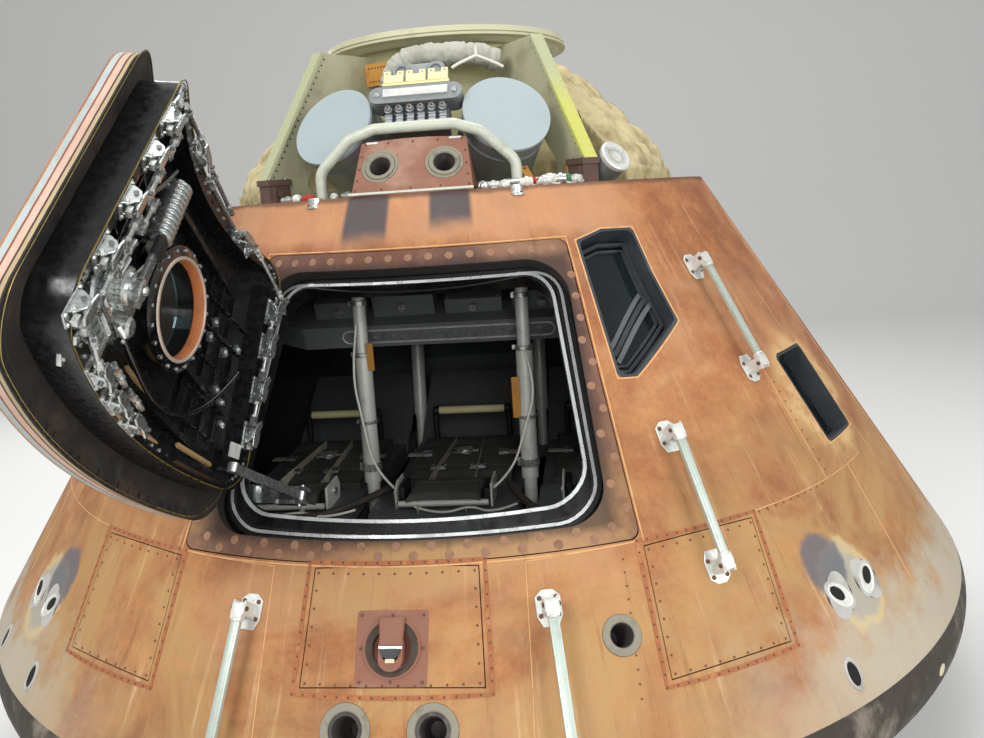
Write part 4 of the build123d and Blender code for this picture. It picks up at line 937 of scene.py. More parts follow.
# %% Rings of the upper engines and feet of the arch tube
UPPER_ENGINE = 2.156
inner_ring = ((0.049, -0.002), (0.0485, 0.0035), (0.046, 0.0045), (0.0385, 0.005), (0.0345, 0.001),
              (0.034, -0.004))
outer_ring = ((0.06, -0.001), (0.0595, 0.0012), (0.0515, 0.0018), (0.05, 0.0005))
collar = ((0.032, 0), (0.032, 0.006), (0.024, 0.009), (0.0225, 0.03), (0.019, 0.032))
for side in (-1, 1):
    mouth = on_cone(degrees(side * 0.103 / cone_radius(UPPER_ENGINE)), UPPER_ENGINE)
    gear.turn(mouth, inner_ring, 40, ring_grey)
    gear.turn(mouth, outer_ring, 40, ring_grey)
for x in (-0.155, -0.08, 0, 0.08, 0.155):
    gear.rivet(on_cone(side_az(x, 2.228), 2.228), 0.0042, 0.002, screw_dark)
    gear.rivet(on_cone(side_az(x * 1.17, 2.084), 2.084), 0.0042, 0.002, screw_dark)
for height in (2.115, 2.15, 2.19):
    for side in (-1, 1):
        x = side * (0.16 + (2.24 - height) * 0.13)
        gear.rivet(on_cone(side_az(x, height), height), 0.0042, 0.002, screw_dark)
# A pale strip at the foot of the box, two small plates under the arch, and the arch's collars
gear.block(on_cone(0, 2.0725, 0.001), 0.395, 0.008, 0.005, 0.0015, tube_grey)
for side in (-1, 1):
    under_arch = on_cone(side_az(side * 0.135, 2.232), 2.232, -0.004)
    gear.block(under_arch, 0.04, 0.008, 0.01, 0.002, off_white)
    gear.turn(moved(side * 0.322, -0.9515, 2.04), collar, 24, silver)
    for turn in (45, 135, 225, 315):
        bolt = moved(side * 0.322, -0.9515, 2.049) @ turned(turn) @ moved(0.027)
        gear.rod(bolt, 0.0035, 0.005, sides=8, finish=screw_dark)
gear.tell("upper engines and arch")

# %% [markdown]
# Four gussets stiffen the tunnel, and each ends in a brown block. Loops set out their screws and small
# holes, the holes as black discs of painted shade.

# %% Screws of the gussets and their feet
GUSSETS = (-36.5, 36.5, 143.5, -143.5)
foot_bolt = ((0.0068, 0), (0.0066, 0.005), (0.0042, 0.0065), (0, 0.0065))
for az in GUSSETS:
    for k in range(17):
        place = turned(az) @ on_cone(0, 2.17 + 0.025 * k, -0.0118)
        for x in (-0.019, 0.019):
            gear.rivet(place @ moved(x), 0.0032, 0.0016, gusset_green)
    for k in range(20):
        height = 2.155 + 0.0215 * k
        for x in (-1, 1):
            spot = turned(az) @ moved(x * 0.0071, 0.052 - cone_radius(height), height) @ turned(90 * x, "Y")
            # Each small hole is a black disc of painted shade
            gear.rivet(spot, 0.0034, 0.0012, painted_shade_black)
            gear.rivet(spot @ moved(0, -0.026, 0), 0.0034, 0.0012, painted_shade_black)
    # Bolt heads on the brown block, and a pin and a bar on each side of it
    foot = turned(az) @ moved(0, -0.9, 2.1462)
    for x, y in ((-0.024, -0.034), (0.024, -0.034), (-0.024, 0.03), (0.024, 0.03)):
        gear.turn(foot @ moved(x, y), foot_bolt, 6, fitting_grey)
    for side in (-1, 1):
        gear.rod(foot @ moved(side * 0.033, 0.0, -0.05) @ turned(90, "Y"), 0.012, 0.01, finish=fitting_brown)
        gear.block(foot @ moved(side * 0.034, -0.024, -0.06), 0.008, 0.012, 0.07, 0.002, fitting_brown)
gear.tell("gussets")

# %% [markdown]
# The pilot canister's cap is fluted like a bottle top. Beside the riser unit a thin white wire bracket
# stands like a low tent. A curve with a round section keeps its bends smooth with only a few points.

# %% Canister cap and wire bracket
canister = on_cone(42.2, 2.146)
dish = ((0.0, -0.001), (0.0555, -0.001), (0.057, 0.004), (0.057, 0.014), (0.051, 0.018), (0.02, 0.0125),
        (0, 0.012))
gear.turn(canister @ moved(z=-0.013), dish, 48, off_white)
for k in range(48):
    flute = canister @ turned(7.5 * k) @ moved(0.0362, 0, 0.002)
    gear.block(flute, 0.03, 0.0016, 0.0036, 0.0006, off_white)
gear.done("forward_gear")
tent = [(0.098, -0.585, 2.486), (0.108, -0.583, 2.495), (0.176, -0.562, 2.523), (0.182, -0.56, 2.525),
        (0.188, -0.558, 2.523), (0.262, -0.536, 2.492), (0.272, -0.533, 2.484)]
post = [(0.182, -0.56, 2.524), (0.182, -0.558, 2.54), (0.182, -0.554, 2.556)]
pipes("wire_bracket", wire_white, 0.0055, [tent, post])

# %% [markdown]
# Wires lie along the edge of the deck in loose bunches, clipped to it here and there. Each wire wanders by
# a little seeded noise, so no two run alike.

# %% Wires along the deck
chance = random.Random(7)
RIM = 2.066
DECK = 2.046
# Start and end in degrees, distance in from the skin, height, sway, number of points
WIRES = {
    "dark": (wire_dark, 0.0042, (
        (11.6, 34.0, 0.058, 2.052, 0.006, 18), (12.4, 30.0, 0.07, 2.058, 0.007, 16),
        (-33.0, -12.0, 0.06, 2.052, 0.005, 16), (14.0, 26.0, 0.082, 2.064, 0.01, 11),
        (46.0, 130.0, 0.06, 2.05, 0.003, 40), (-130.0, -46.0, 0.06, 2.05, 0.003, 40))),
    "white": (wire_white, 0.0034, (
        (12.0, 33.0, 0.064, 2.064, 0.008, 20), (18.0, 34.0, 0.052, 2.068, 0.008, 14),
        (-30.0, -18.0, 0.066, 2.06, 0.007, 12), (24.0, 34.0, 0.08, 2.075, 0.012, 9))),
    "red": (wire_red, 0.003, (
        (20.0, 31.0, 0.07, 2.066, 0.01, 10), (-24.0, -17.0, 0.06, 2.058, 0.006, 8))),
    "green": (wire_green, 0.003, (
        (14.0, 22.0, 0.066, 2.062, 0.008, 9), (27.0, 34.0, 0.06, 2.062, 0.007, 8))),
}


def deck_wire(start, end, inset, height, sway, count):
    places = []
    for k in range(count):
        az = start + (end - start) * k / (count - 1)
        r = cone_radius(RIM) - inset + chance.uniform(-sway, sway)
        z = height + chance.uniform(-sway, sway) * 0.6
        places.append((r * sin(radians(az)), -r * cos(radians(az)), max(z, DECK)))
    return places


for colour, (finish, radius, rows) in WIRES.items():
    pipes(f"deck_wires_{colour}", finish, radius, [deck_wire(*row) for row in rows])

# %% [markdown]
# Plugs of many sizes lie between the wires: one turned form with grip ribs, scaled by a row of a short
# table.

# %% Plugs and clips along the deck
plugs_row = Part(silver, wire_white, wire_red, wire_green, screw_dark, off_white)
# Angle round the axis, distance in from the skin, height, radius, half length, turn, finish
DECK_PLUGS = (
    (13.0, 0.06, 2.074, 0.01625, 0.026, 20, silver),
    (15.2, 0.074, 2.076, 0.01375, 0.0234, 75, off_white),
    (17.2, 0.056, 2.074, 0.01625, 0.0221, 10, off_white),
    (19.6, 0.078, 2.082, 0.015, 0.0286, 60, silver), (21.6, 0.06, 2.078, 0.0175, 0.0221, 85, wire_white),
    (23.4, 0.074, 2.08, 0.0125, 0.026, 30, wire_red),
    (25.2, 0.058, 2.078, 0.0175, 0.026, 80, off_white),
    (27.0, 0.082, 2.086, 0.01625, 0.0299, 15, wire_white),
    (28.8, 0.062, 2.082, 0.01875, 0.0221, 60, silver),
    (30.6, 0.074, 2.082, 0.015, 0.0286, 95, wire_green),
    (32.2, 0.058, 2.078, 0.01625, 0.0221, 25, off_white),
    (-13.6, 0.064, 2.072, 0.01375, 0.0221, 70, silver),
    (-16.4, 0.06, 2.072, 0.0125, 0.0234, 20, off_white),
    (-22.8, 0.062, 2.072, 0.015, 0.0221, 80, wire_red),
    (-25.6, 0.06, 2.074, 0.015, 0.026, 30, off_white),
    (-28.6, 0.064, 2.072, 0.01375, 0.0221, 100, silver))
for az, inset, height, radius, h, turn, finish in DECK_PLUGS:
    place = turned(az) @ moved(0, inset - cone_radius(RIM), height) @ turned(turn) @ turned(90, "X")
    outside = ((0, -h), (radius * 0.8, -h), (radius * 0.8, -h * 0.2), (radius, -h * 0.15), (radius, h * 0.35),
               (radius * 0.86, h * 0.4), (radius * 0.86, h * 0.9), (radius * 0.6, h), (0, h))
    plugs_row.turn(place, outside, 16, finish)
    for k in range(8):
        grip = place @ turned(45 * k) @ moved(radius, 0, h * 0.1)
        plugs_row.block(grip, 0.002, 0.003, h * 0.44, 0.0006, finish)
for az in (12.2, 16.2, 20.6, 24.4, 28.0, 31.6, -14.8, -20.2, -24.0, -30.6):
    clip = turned(az) @ moved(0, 0.066 - cone_radius(RIM), DECK)
    plugs_row.block(clip @ moved(z=0.006), 0.014, 0.052, 0.0025, 0.001, silver)
    plugs_row.block(clip @ moved(0, 0.028, -0.001), 0.016, 0.014, 0.008, 0.0015, silver)
    plugs_row.rod(clip @ moved(0, 0.028, 0.005), 0.004, 0.004, sides=8, finish=screw_dark)
plugs_row.done("deck_connectors")

# %% [markdown]
# The parachutes are packed in quilted bags, and the couches have soft pads. Each starts from its CAD form,
# remeshed into even small faces. The cloth simulation then swells it from inside with gravity off, and a
# cap on how far any point may move keeps it inside its own space. Seams come after that, pressed in along
# lines on the swollen form.

# %% Stuffed cloth
def fabric(name, colour, worn, weave=420.0, dirt=0.5, scale=6.0):
    made = Finish(name, roughness=0.9)
    patches = made.noise(scale, 7, 0.68, warp=0.4)
    tint = made.mix(made.span(patches, 0.42, 0.68, 0.0, dirt), colour, worn)
    tint = made.mix(made.span(made.noise(scale * 5, 5, 0.7), 0.55, 0.8, 0.0, 0.3), tint, worn)
    made.put("Base Color", tint)
    made.bump(made.noise(scale * 8, 6, 0.7), 0.4, 0.003)
    made.bump(made.cells(weave), 0.25, 0.0006)
    return made.material


pack_cloth = fabric("pack_cloth", paint(190, 176, 134), paint(126, 110, 74), dirt=0.75, scale=8.0)
pad_cloth = fabric("pad_cloth", paint(74, 74, 70), paint(44, 44, 43), dirt=0.35)
duct_cloth = fabric("duct_cloth", paint(178, 178, 166), paint(128, 126, 112), scale=9.0)


def stuffed(name, source, voxel, cap, finish, press=None, shrink=0.008, pressure=4.0):
    """A cloth copy of a CAD solid: shrunk, swollen by the simulation, then pressed in along its seams."""
    made = bpy.data.objects.new(name, nodes[source].data.copy())
    scene.collection.objects.link(made)
    made.matrix_world = nodes[source].matrix_world.copy()
    remesh = made.modifiers.new("even", "REMESH")
    remesh.mode, remesh.voxel_size = "VOXEL", voxel
    made.data = bpy.data.meshes.new_from_object(made.evaluated_get(bpy.context.evaluated_depsgraph_get()))
    made.modifiers.clear()
    for point, normal in zip(made.data.vertices, [v.normal.copy() for v in made.data.vertices]):
        point.co -= normal * shrink
    rest = [v.co.copy() for v in made.data.vertices]
    cloth = made.modifiers.new("swell", "CLOTH")
    cloth.settings.use_pressure = True
    cloth.settings.uniform_pressure_force = pressure
    cloth.settings.effector_weights.gravity = 0
    cloth.settings.quality = 5
    cloth.settings.mass = 0.3
    cloth.settings.tension_stiffness = cloth.settings.compression_stiffness = 12
    cloth.settings.bending_stiffness = 0.4
    for step in range(1, 21):
        scene.frame_set(step)
    swollen = made.evaluated_get(bpy.context.evaluated_depsgraph_get()).data
    moves = [v.co - r for v, r in zip(swollen.vertices, rest)]
    made.modifiers.clear()
    for point, start, move in zip(made.data.vertices, rest, moves):
        point.co = start + move * min(1.0, cap / max(move.length, 1e-9))
    scene.frame_set(1)
    made.data.update()
    if press:
        normals = [v.normal.copy() for v in made.data.vertices]
        for point, normal in zip(made.data.vertices, normals):
            point.co -= normal * press(point.co, normal)
    made.data.materials.clear()
    made.data.materials.append(finish)
    made.data.polygons.foreach_set("use_smooth", [True] * len(made.data.polygons))
    made.data.polygons.foreach_set("material_index", [0] * len(made.data.polygons))
    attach(made, "root")
    print(name, len(made.data.polygons), "faces")
    return made


# %% [markdown]
# The bags' seams run up the slope and level round it, with creases between them.

# %% The parachute bags
def quilt(point, normal):
    """Seams run up the slope every 9 degrees and level every 110 mm, with creases of noise between them."""
    az = degrees(atan2(point.x, -point.y))
    slant = (point.z - 2.03) / cos(LEAN)
    drift = 2.2 * noise.noise(Vector((az * 0.03, slant * 3.0, 0.3)))
    radius = hypot(point.x, point.y)
    across = abs((az + drift + 4.5) % 9 - 4.5) * radians(1) * radius
    level = abs((slant + 0.012 * drift + 0.055) % 0.11 - 0.055)
    seam = max(exp(-(across / 0.011) ** 2), 0.8 * exp(-(level / 0.01) ** 2))
    crease = 1 - abs(noise.noise(Vector((point.x * 9, point.y * 9, point.z * 13))) * 2)
    fold = noise.noise(Vector((point.x * 22, point.y * 22, point.z * 30)))
    return 0.013 * seam + 0.012 * max(0, crease - 0.4) + 0.004 * fold - 0.009


bag_grain = 0.016
for side in ("left", "right", "rear"):
    source = f"parachute_pack_{side}"
    bag = stuffed(f"parachute_bag_{side}", source, bag_grain, 0.022, pack_cloth, quilt, 0.016)
    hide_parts(source)


# %% [markdown]
# The couches' cushions have a seam every 155 mm and swell less than the bags.

# %% The couch cushions
def couch_seams(point, normal):
    if normal.z < 0.3:
        return 0.0
    level = abs((point.y + 0.3) % 0.155 - 0.0775)
    return 0.009 * exp(-((0.0775 - level) / 0.006) ** 2)


pad_grain = 0.012
pads = stuffed("couch_cushions", "couch_pads", pad_grain, 0.012, pad_cloth, couch_seams, 0.009)
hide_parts("couch_pads")

# %% [markdown]
# The wrapped duct is a soft tube with tape round it. It is swept along a smooth line and creased by noise,
# tighter at the tape. A swept tube is quicker here than a simulation, and its creases stay where the tape
# is.

# %% The wrapped duct
def smooth_line(corners, per_leg):
    """Points along a Catmull-Rom curve through the corners."""
    ends = [corners[0] * 2 - corners[1]] + corners + [corners[-1] * 2 - corners[-2]]
    line = []
    for a, b, c, d in zip(ends, ends[1:], ends[2:], ends[3:]):
        for k in range(per_leg):
            t = k / per_leg
            line.append(0.5 * ((2 * b) + (c - a) * t + (2 * a - 5 * b + 4 * c - d) * t * t
                               + (3 * b - a - 3 * c + d) * t * t * t))
    return line + [corners[-1]]


def wrapped_tube(name, corners, radius, per_leg, finish, body="root", sides=30, crease=0.12):
    line = smooth_line([Vector(c) for c in corners], per_leg)
    mesh = bmesh.new()
    rings = []
    side = Vector((0, 0, 1))
    for k, point in enumerate(line):
        along = (line[min(k + 1, len(line) - 1)] - line[max(k - 1, 0)]).normalized()
        side = (side - along * side.dot(along)).normalized()
        other = along.cross(side)
        end = min(k, len(line) - 1 - k)
        girth = radius * min(1.0, 0.55 + 0.18 * end) * (1 - 0.1 * exp(-((k % 17 - 8) / 1.3) ** 2))
        ring = []
        for j in range(sides):
            a = 2 * pi * j / sides
            out = cos(a) * side + sin(a) * other
            fold = noise.noise(Vector((k * 0.35, cos(a) * 1.6, sin(a) * 1.6)))
            fold += 0.6 * noise.noise(Vector((k * 0.9, cos(a) * 3 + 7, sin(a) * 3)))
            ring.append(mesh.verts.new(point + out * girth * (1 + crease * fold)))
        rings.append(ring)
    for one, two in zip(rings, rings[1:]):
        for j in range(sides):
            mesh.faces.new((one[j], one[(j + 1) % sides], two[(j + 1) % sides], two[j]))
    mesh.faces.new(list(reversed(rings[0])))
    mesh.faces.new(rings[-1])
    bmesh.ops.recalc_face_normals(mesh, faces=mesh.faces)
    data = bpy.data.meshes.new(name)
    mesh.to_mesh(data)
    mesh.free()
    data.materials.append(finish)
    data.polygons.foreach_set("use_smooth", [True] * len(data.polygons))
    made = bpy.data.objects.new(name, data)
    scene.collection.objects.link(made)
    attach(made, body)
    return made


def round_tunnel(az, height, radius):
    return (radius * sin(radians(az)), -radius * cos(radians(az)), height)


# Angle and height of the points along it
DUCT_PATH = ((-17.0, 2.448), (-16.0, 2.484), (-12.5, 2.524), (-6.0, 2.546), (2.0, 2.551), (12.0, 2.549),
             (21.0, 2.544), (30.5, 2.52))
duct_route = [round_tunnel(az, z, 0.5) for az, z in DUCT_PATH]
duct = wrapped_tube("wrapped_duct_cloth", duct_route, 0.0385, 17, duct_cloth)
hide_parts("wrapped_duct")
print("wrapped duct", len(duct.data.polygons), "faces")
# Two thin straps with screws hold the duct down
saddles = Part(silver, screw_dark)
for az in (-8.0, 14.0):
    saddle = turned(az) @ moved(0, -0.452, 2.56)
    saddles.block(saddle, 0.024, 0.098, 0.004, 0.0015, silver)
    saddles.block(saddle @ moved(0, -0.045, -0.006), 0.024, 0.005, 0.012, 0.0015, silver)
    for x in (-0.03, 0.01, 0.036):
        saddles.rod(saddle @ moved(0, x, 0.003), 0.0042, 0.003, sides=8, finish=screw_dark)
saddles.done("duct_saddles")

# %% [markdown]
# The hatchway and the door share one outline, a trapezium with round corners that follows the cone. The
# door stands open by 86 degrees, but it is far easier to build closed: each piece is placed on the closed
# door, square to the wall, and then swung out with the hinge. The finish of the door's ablator is swung
# back the same way, so its edge can be painted in layers by depth.

# %% Outlines of the hatchway
def slope(height):
    return (height - HATCH_MIDDLE) / cos(LEAN)


HATCHWAY = (1.85, 1.172, 0.461, 0.561, 0.12)
CLEAR_WAY = (1.83155, 1.23574, 0.409, 0.509, 0.1)


def way_line(outline, grow, depth, step=0.03, flat=0.0):
    """Places in the wall along an outline of the hatchway, grown by some metres, from the lower left corner.
    Where a plane at the distance flat behind the front lies deeper than the depth, they lie on that plane."""
    top, bottom, half_top, half_bottom, corner = outline
    rises = [(cone_radius(z) - sqrt(cone_radius(z) ** 2 - half ** 2)) * sin(LEAN)
             for z, half in ((top, half_top), (bottom, half_bottom))]
    wide, wider = half_top + grow, half_bottom + grow
    high, low = slope(top) + grow + rises[0], slope(bottom) - grow + rises[1]
    corners = [Vector((-wider, low)), Vector((wider, low)), Vector((wide, high)), Vector((-wide, high))]
    bend = corner + grow
    line = []
    for k, here in enumerate(corners):
        back, ahead = (corners[k - 1] - here).normalized(), (corners[(k + 1) % 4] - here).normalized()
        half_angle = back.angle(ahead) / 2
        centre = here + (back + ahead).normalized() * (bend / sin(half_angle))
        start = here + back * (bend / tan(half_angle)) - centre
        sweep = pi - 2 * half_angle
        level_rise, level_half = (rises[1], wider) if k < 2 else (rises[0], wide)
        bends = []
        for t in range(9):
            a = sweep * t / 8
            point = centre + Vector((start.x * cos(a) - start.y * sin(a),
                                     start.x * sin(a) + start.y * cos(a)))
            share = (1 - cos(pi * t / 8) * (1 if k % 2 == 0 else -1)) / 2
            bends.append(point)
            line.append(Vector((point.x, point.y - share * level_rise * (1 - (point.x / level_half) ** 2))))
        leave, arrive = bends[-1], corners[(k + 1) % 4] - ahead * (bend / tan(half_angle))
        count = max(1, round((arrive - leave).length / step))
        for t in range(1, count):
            point = leave.lerp(arrive, t / count)
            if k in (0, 2):
                point = Vector((point.x, point.y - level_rise * (1 - (point.x / level_half) ** 2)))
            line.append(point)
    places = []
    for point in line:
        behind = front @ Vector((point.x, point.y, -flat))
        on_flat = (cone_radius(behind.z) - hypot(behind.x, behind.y)) * cos(LEAN) if flat else 0
        places.append(at_depth(point.x, point.y, max(depth, on_flat)))
    return places


# A black seal and bright lines along one outline, each a little smaller than the last
seal_black = painted("seal_black", (20, 19, 18), (46, 44, 42), 0.55, scale=40.0)
thin_gold = painted("thin_gold", (168, 150, 96), (112, 104, 74), 0.35, 0.7, scale=30.0)
rim_silver = painted("rim_silver", (214, 218, 216), (158, 162, 160), 0.28, 0.55, scale=9.0, wear=0.4)
ways = Part(seal_black, rim_silver, thin_gold)
ways.ribbon(way_line(HATCHWAY, -0.0075, 0.0555), 0.0125, 0.002, closed=True)
ways.ribbon(way_line(HATCHWAY, -0.0205, 0.0555), 0.0105, 0.0016, closed=True, finish=rim_silver)
ways.ribbon(way_line(HATCHWAY, -0.0305, 0.0555, flat=0.096), 0.006, 0.001, closed=True)
ways.ribbon(way_line(CLEAR_WAY, 0.0062, 0.0555, flat=0.096), 0.0115, 0.0024, closed=True, finish=rim_silver)
ways.done("hatchway_rims")

# %% [markdown]
# The door's inner face is black and glossy, with pockets between its ribs. Round its rim runs the latch
# work: at each place a pair of cheeks holds a roller and a hook, and jointed rods tie one latch to the
# next, so that a single handle pulls them all home.

# %% The door's layers
glossy = Finish("glossy_black", roughness=0.17, Coat_Weight=0.6)
dusty = glossy.span(glossy.noise(16.0, 5), 0.5, 0.8, 0.0, 0.5)
glossy.put("Base Color", glossy.mix(dusty, paint(9, 9, 10), paint(34, 33, 32)))
glossy.put("Roughness", glossy.span(glossy.noise(30.0, 4), 0.35, 0.7, 0.12, 0.34))
glossy.bump(glossy.noise(22.0, 4), 0.25, 0.0015)
glossy = glossy.material
tube_orange = painted("window_tube", (176, 104, 58), (116, 68, 42), 0.6, scale=16.0, wear=0.5)
pale_ring = painted("pale_ring", (184, 168, 154), (130, 112, 98), 0.4, 0.3, scale=24.0)
pin_grey = painted("pin_grey", (108, 110, 110), (60, 62, 62), 0.3, 0.7, scale=60.0)
rail_tan = painted("rail_tan", (150, 124, 84), (84, 70, 52), 0.5, scale=30.0)
door_layers = Part(pale_ring, tube_orange, thin_gold, glossy, seal_black)
door_layers.ribbon(way_line(HATCHWAY, -0.024, 0.05), 0.02, 0.0, -0.0006, closed=True, finish=seal_black)
door_layers.ribbon(way_line(HATCHWAY, -0.0145, 0.05), 0.004, 0.0, -0.0012, closed=True, finish=thin_gold)
door_layers.ribbon(way_line(CLEAR_WAY, -0.0165, 0.135), 0.003, 0.0, -0.0022, closed=True, finish=thin_gold)


def inside(x, y, depth=0.135, turn=0.0):
    """Place on the door's inner side, with z into the cabin, x to the door's left and y up."""
    return at_depth(x, y, depth) @ turned(turn) @ turned(180, "Y")


# %% [markdown]
# Ribs divide the door's inner face into pockets. Each rib is a thin block in a small grid.

# %% Pockets of the door
pockets = Part(glossy)
for x in (-0.36, -0.3, -0.24, -0.18, 0.18, 0.24, 0.3, 0.36):
    for low_end, high_end in ((-0.245, -0.215), (-0.19, -0.06), (-0.03, 0.09), (0.12, 0.235)):
        if abs(x) > 0.33 and high_end > 0.2:
            continue
        middle = (low_end + high_end) / 2
        pockets.block(inside(x, middle, 0.084), 0.005, high_end - low_end, 0.03, 0.001)
for y in (-0.245, -0.16, -0.075, 0.02, 0.105, 0.18):
    for x0, x1 in ((-0.4, -0.19), (0.19, 0.4)):
        for k in range(4):
            x = x0 + (x1 - x0) * (k + 0.5) / 4
            pockets.block(inside(x, y, 0.084), abs(x1 - x0) / 4, 0.005, 0.026, 0.001)
pockets.done("door_pockets", "hatch", shift=swing)

# %% [markdown]
# Each latch is a plate with four bolts, two cheeks, a roller on a pin and a hook, so one loop draws them
# all.

# %% Latches of the door
door_bits = Part(latch_steel, silver, seal_black, pin_grey, rail_tan, off_white, glossy)
LOW_EDGE, HIGH_EDGE = slope(CLEAR_WAY[1]), slope(CLEAR_WAY[0])
RIM_MIDDLE = -0.035


def rim_half(rise):
    return 0.509 + (rise - LOW_EDGE) / (HIGH_EDGE - LOW_EDGE) * (0.409 - 0.509) + RIM_MIDDLE


def edge_rise(x):
    return (cone_radius(HATCH_MIDDLE) - sqrt(cone_radius(HATCH_MIDDLE) ** 2 - x ** 2)) * sin(LEAN)


LATCH_RISES = (-0.24, -0.11, 0.02, 0.15, 0.255)
LOW_LATCHES, HIGH_LATCHES = (0.06, 0.165, 0.27), (-0.17, 0.17)
latch_spots = [(side * rim_half(y), y, 0) for y in LATCH_RISES for side in (-1, 1) if y > -0.2 or side > 0]
latch_spots += [(x, LOW_EDGE - RIM_MIDDLE + edge_rise(x), 90) for x in LOW_LATCHES]
latch_spots += [(x, HIGH_EDGE + RIM_MIDDLE + edge_rise(x), 90) for x in HIGH_LATCHES]
cheek_shape = [(-0.026, 0), (0.026, 0), (0.026, 0.01), (0.016, 0.026), (0.004, 0.031), (-0.01, 0.029),
               (-0.022, 0.014)]
hook_shape = [(-0.012, -0.034), (0.006, -0.038), (0.013, -0.02), (0.011, 0.012), (0.02, 0.03), (0.012, 0.04),
              (-0.004, 0.03), (-0.013, 0.006)]
seat_bolt = ((0.0048, 0), (0.0046, 0.003), (0.0028, 0.0042), (0, 0.0042))
for x, y, turn in latch_spots:
    seat = inside(x, y, turn=turn)
    door_bits.block(seat @ moved(z=0.0022), 0.04, 0.078, 0.004, 0.0015)
    for bx, by in ((-0.014, -0.033), (0.014, -0.033), (-0.014, 0.033), (0.014, 0.033)):
        door_bits.turn(seat @ moved(bx, by, 0.004), seat_bolt, 6, silver)
    for side in (-1, 1):
        cheek = seat @ moved(side * 0.0145, 0, 0.003) @ turned(90, "Z") @ turned(90, "X")
        door_bits.plate(cheek, cheek_shape, -0.0025, 0.0025)
    roller = seat @ moved(0, 0.006, 0.021) @ turned(90, "Y")
    door_bits.rod(roller, 0.0115, 0.022, finish=silver)
    door_bits.rod(roller, 0.0052, 0.044, sides=12, finish=pin_grey)
    door_bits.rod(seat @ moved(0, -0.016, 0.012) @ turned(90, "Y"), 0.0045, 0.042, sides=12, finish=silver)
    door_bits.plate(seat @ moved(0, 0.004, 0.031), hook_shape, 0, 0.005)
    door_bits.block(seat @ moved(-0.002, -0.03, 0.02), 0.016, 0.02, 0.012, 0.003, silver)
    door_bits.rod(seat @ moved(0, 0.032, 0.0385), 0.005, 0.006, sides=10, finish=pin_grey)
door_bits.tell("latches")

# %% [markdown]
# Each push rod has a fork, a pin and a lock nut at both ends, and stops a little short of the latches it
# joins.

# %% Push rods
def push_rod(start, end, depth=0.165, radius=0.0055):
    """A jointed rod between two places on the door, with a fork and a lock nut at each end."""
    place, length = between(inside(*start, depth).translation, inside(*end, depth).translation)
    door_bits.rod(place, radius, length, sides=12)
    for end_side in (-1, 1):
        fork = place @ moved(z=end_side * (length / 2 - 0.014))
        door_bits.turn(fork @ moved(z=-0.016 if end_side > 0 else 0.009),
                       ((0, 0), (radius * 1.7, 0), (radius * 1.7, 0.007), (0, 0.007)), 6, silver)
        door_bits.block(fork @ moved(z=end_side * 0.004), 0.013, 0.016, 0.026, 0.003)
        door_bits.rod(fork @ moved(z=end_side * 0.01) @ turned(90, "X"), 0.0048, 0.022, sides=10,
                      finish=pin_grey)


ROD_INSET = 0.028
SHORT_OF_LATCH = 0.16
right_side = [(rim_half(y) - ROD_INSET, y) for y in LATCH_RISES]
left_side = [(-rim_half(y) + ROD_INSET, y) for y in LATCH_RISES[1:]]
low_side = [(x, LOW_EDGE - RIM_MIDDLE + edge_rise(x) + ROD_INSET) for x in LOW_LATCHES]
high_side = [(x, HIGH_EDGE + RIM_MIDDLE + edge_rise(x) - ROD_INSET) for x in HIGH_LATCHES]
for row in (right_side, left_side, low_side, high_side):
    for (x0, y0), (x1, y1) in zip(row, row[1:]):
        dx, dy = (x1 - x0) * SHORT_OF_LATCH, (y1 - y0) * SHORT_OF_LATCH
        push_rod((x0 + dx, y0 + dy), (x1 - dx, y1 - dy))
CORNER_RODS = (((0.395, -0.262), (0.3, -0.288)), ((-0.385, 0.3), (-0.215, 0.352)),
               ((0.385, 0.3), (0.215, 0.352)), ((0.348, 0.078), (0.366, -0.013)),
               ((0.381, -0.045), (0.404, -0.136)), ((-0.05, 0.352), (0.12, 0.352)))
for start, end in CORNER_RODS:
    push_rod(start, end)
door_bits.tell("push rods")

# %% [markdown]
# Bell cranks turn the pull of the rods at the corners, and bolts fill the rim between the latches.

# %% Bell cranks, bolts and tabs
crank_shape = [(-0.034, -0.01), (-0.02, -0.018), (0.022, -0.016), (0.034, 0.0), (0.014, 0.014), (0.01, 0.036),
               (-0.006, 0.038), (-0.01, 0.012)]
CRANKS = ((0.405, 0.292, -40), (-0.405, 0.292, 40), (0.412, -0.262, 200), (0.188, 0.345, 0),
          (-0.19, 0.345, 80))
for x, y, turn in CRANKS:
    crank = inside(x, y, 0.15, turn)
    door_bits.plate(crank, crank_shape, 0, 0.006)
    door_bits.rod(crank @ moved(z=0.004), 0.01, 0.014, finish=silver)
    for bx, by in ((-0.026, -0.006), (0.006, 0.03), (0.024, -0.006)):
        door_bits.rod(crank @ moved(bx, by, 0.007), 0.0048, 0.006, sides=10, finish=pin_grey)
# Bolts along the rim, between the latches
rim_bolt = ((0.005, 0), (0.0048, 0.003), (0.003, 0.004), (0, 0.004))
for k, place in enumerate(way_line(CLEAR_WAY, RIM_MIDDLE, 0.135, 0.036)):
    if all((place.translation - inside(x, y).translation).length > 0.05 for x, y, _ in latch_spots):
        door_bits.turn(place @ turned(180, "Y"), rim_bolt, 8, latch_steel if k % 3 else seal_black)
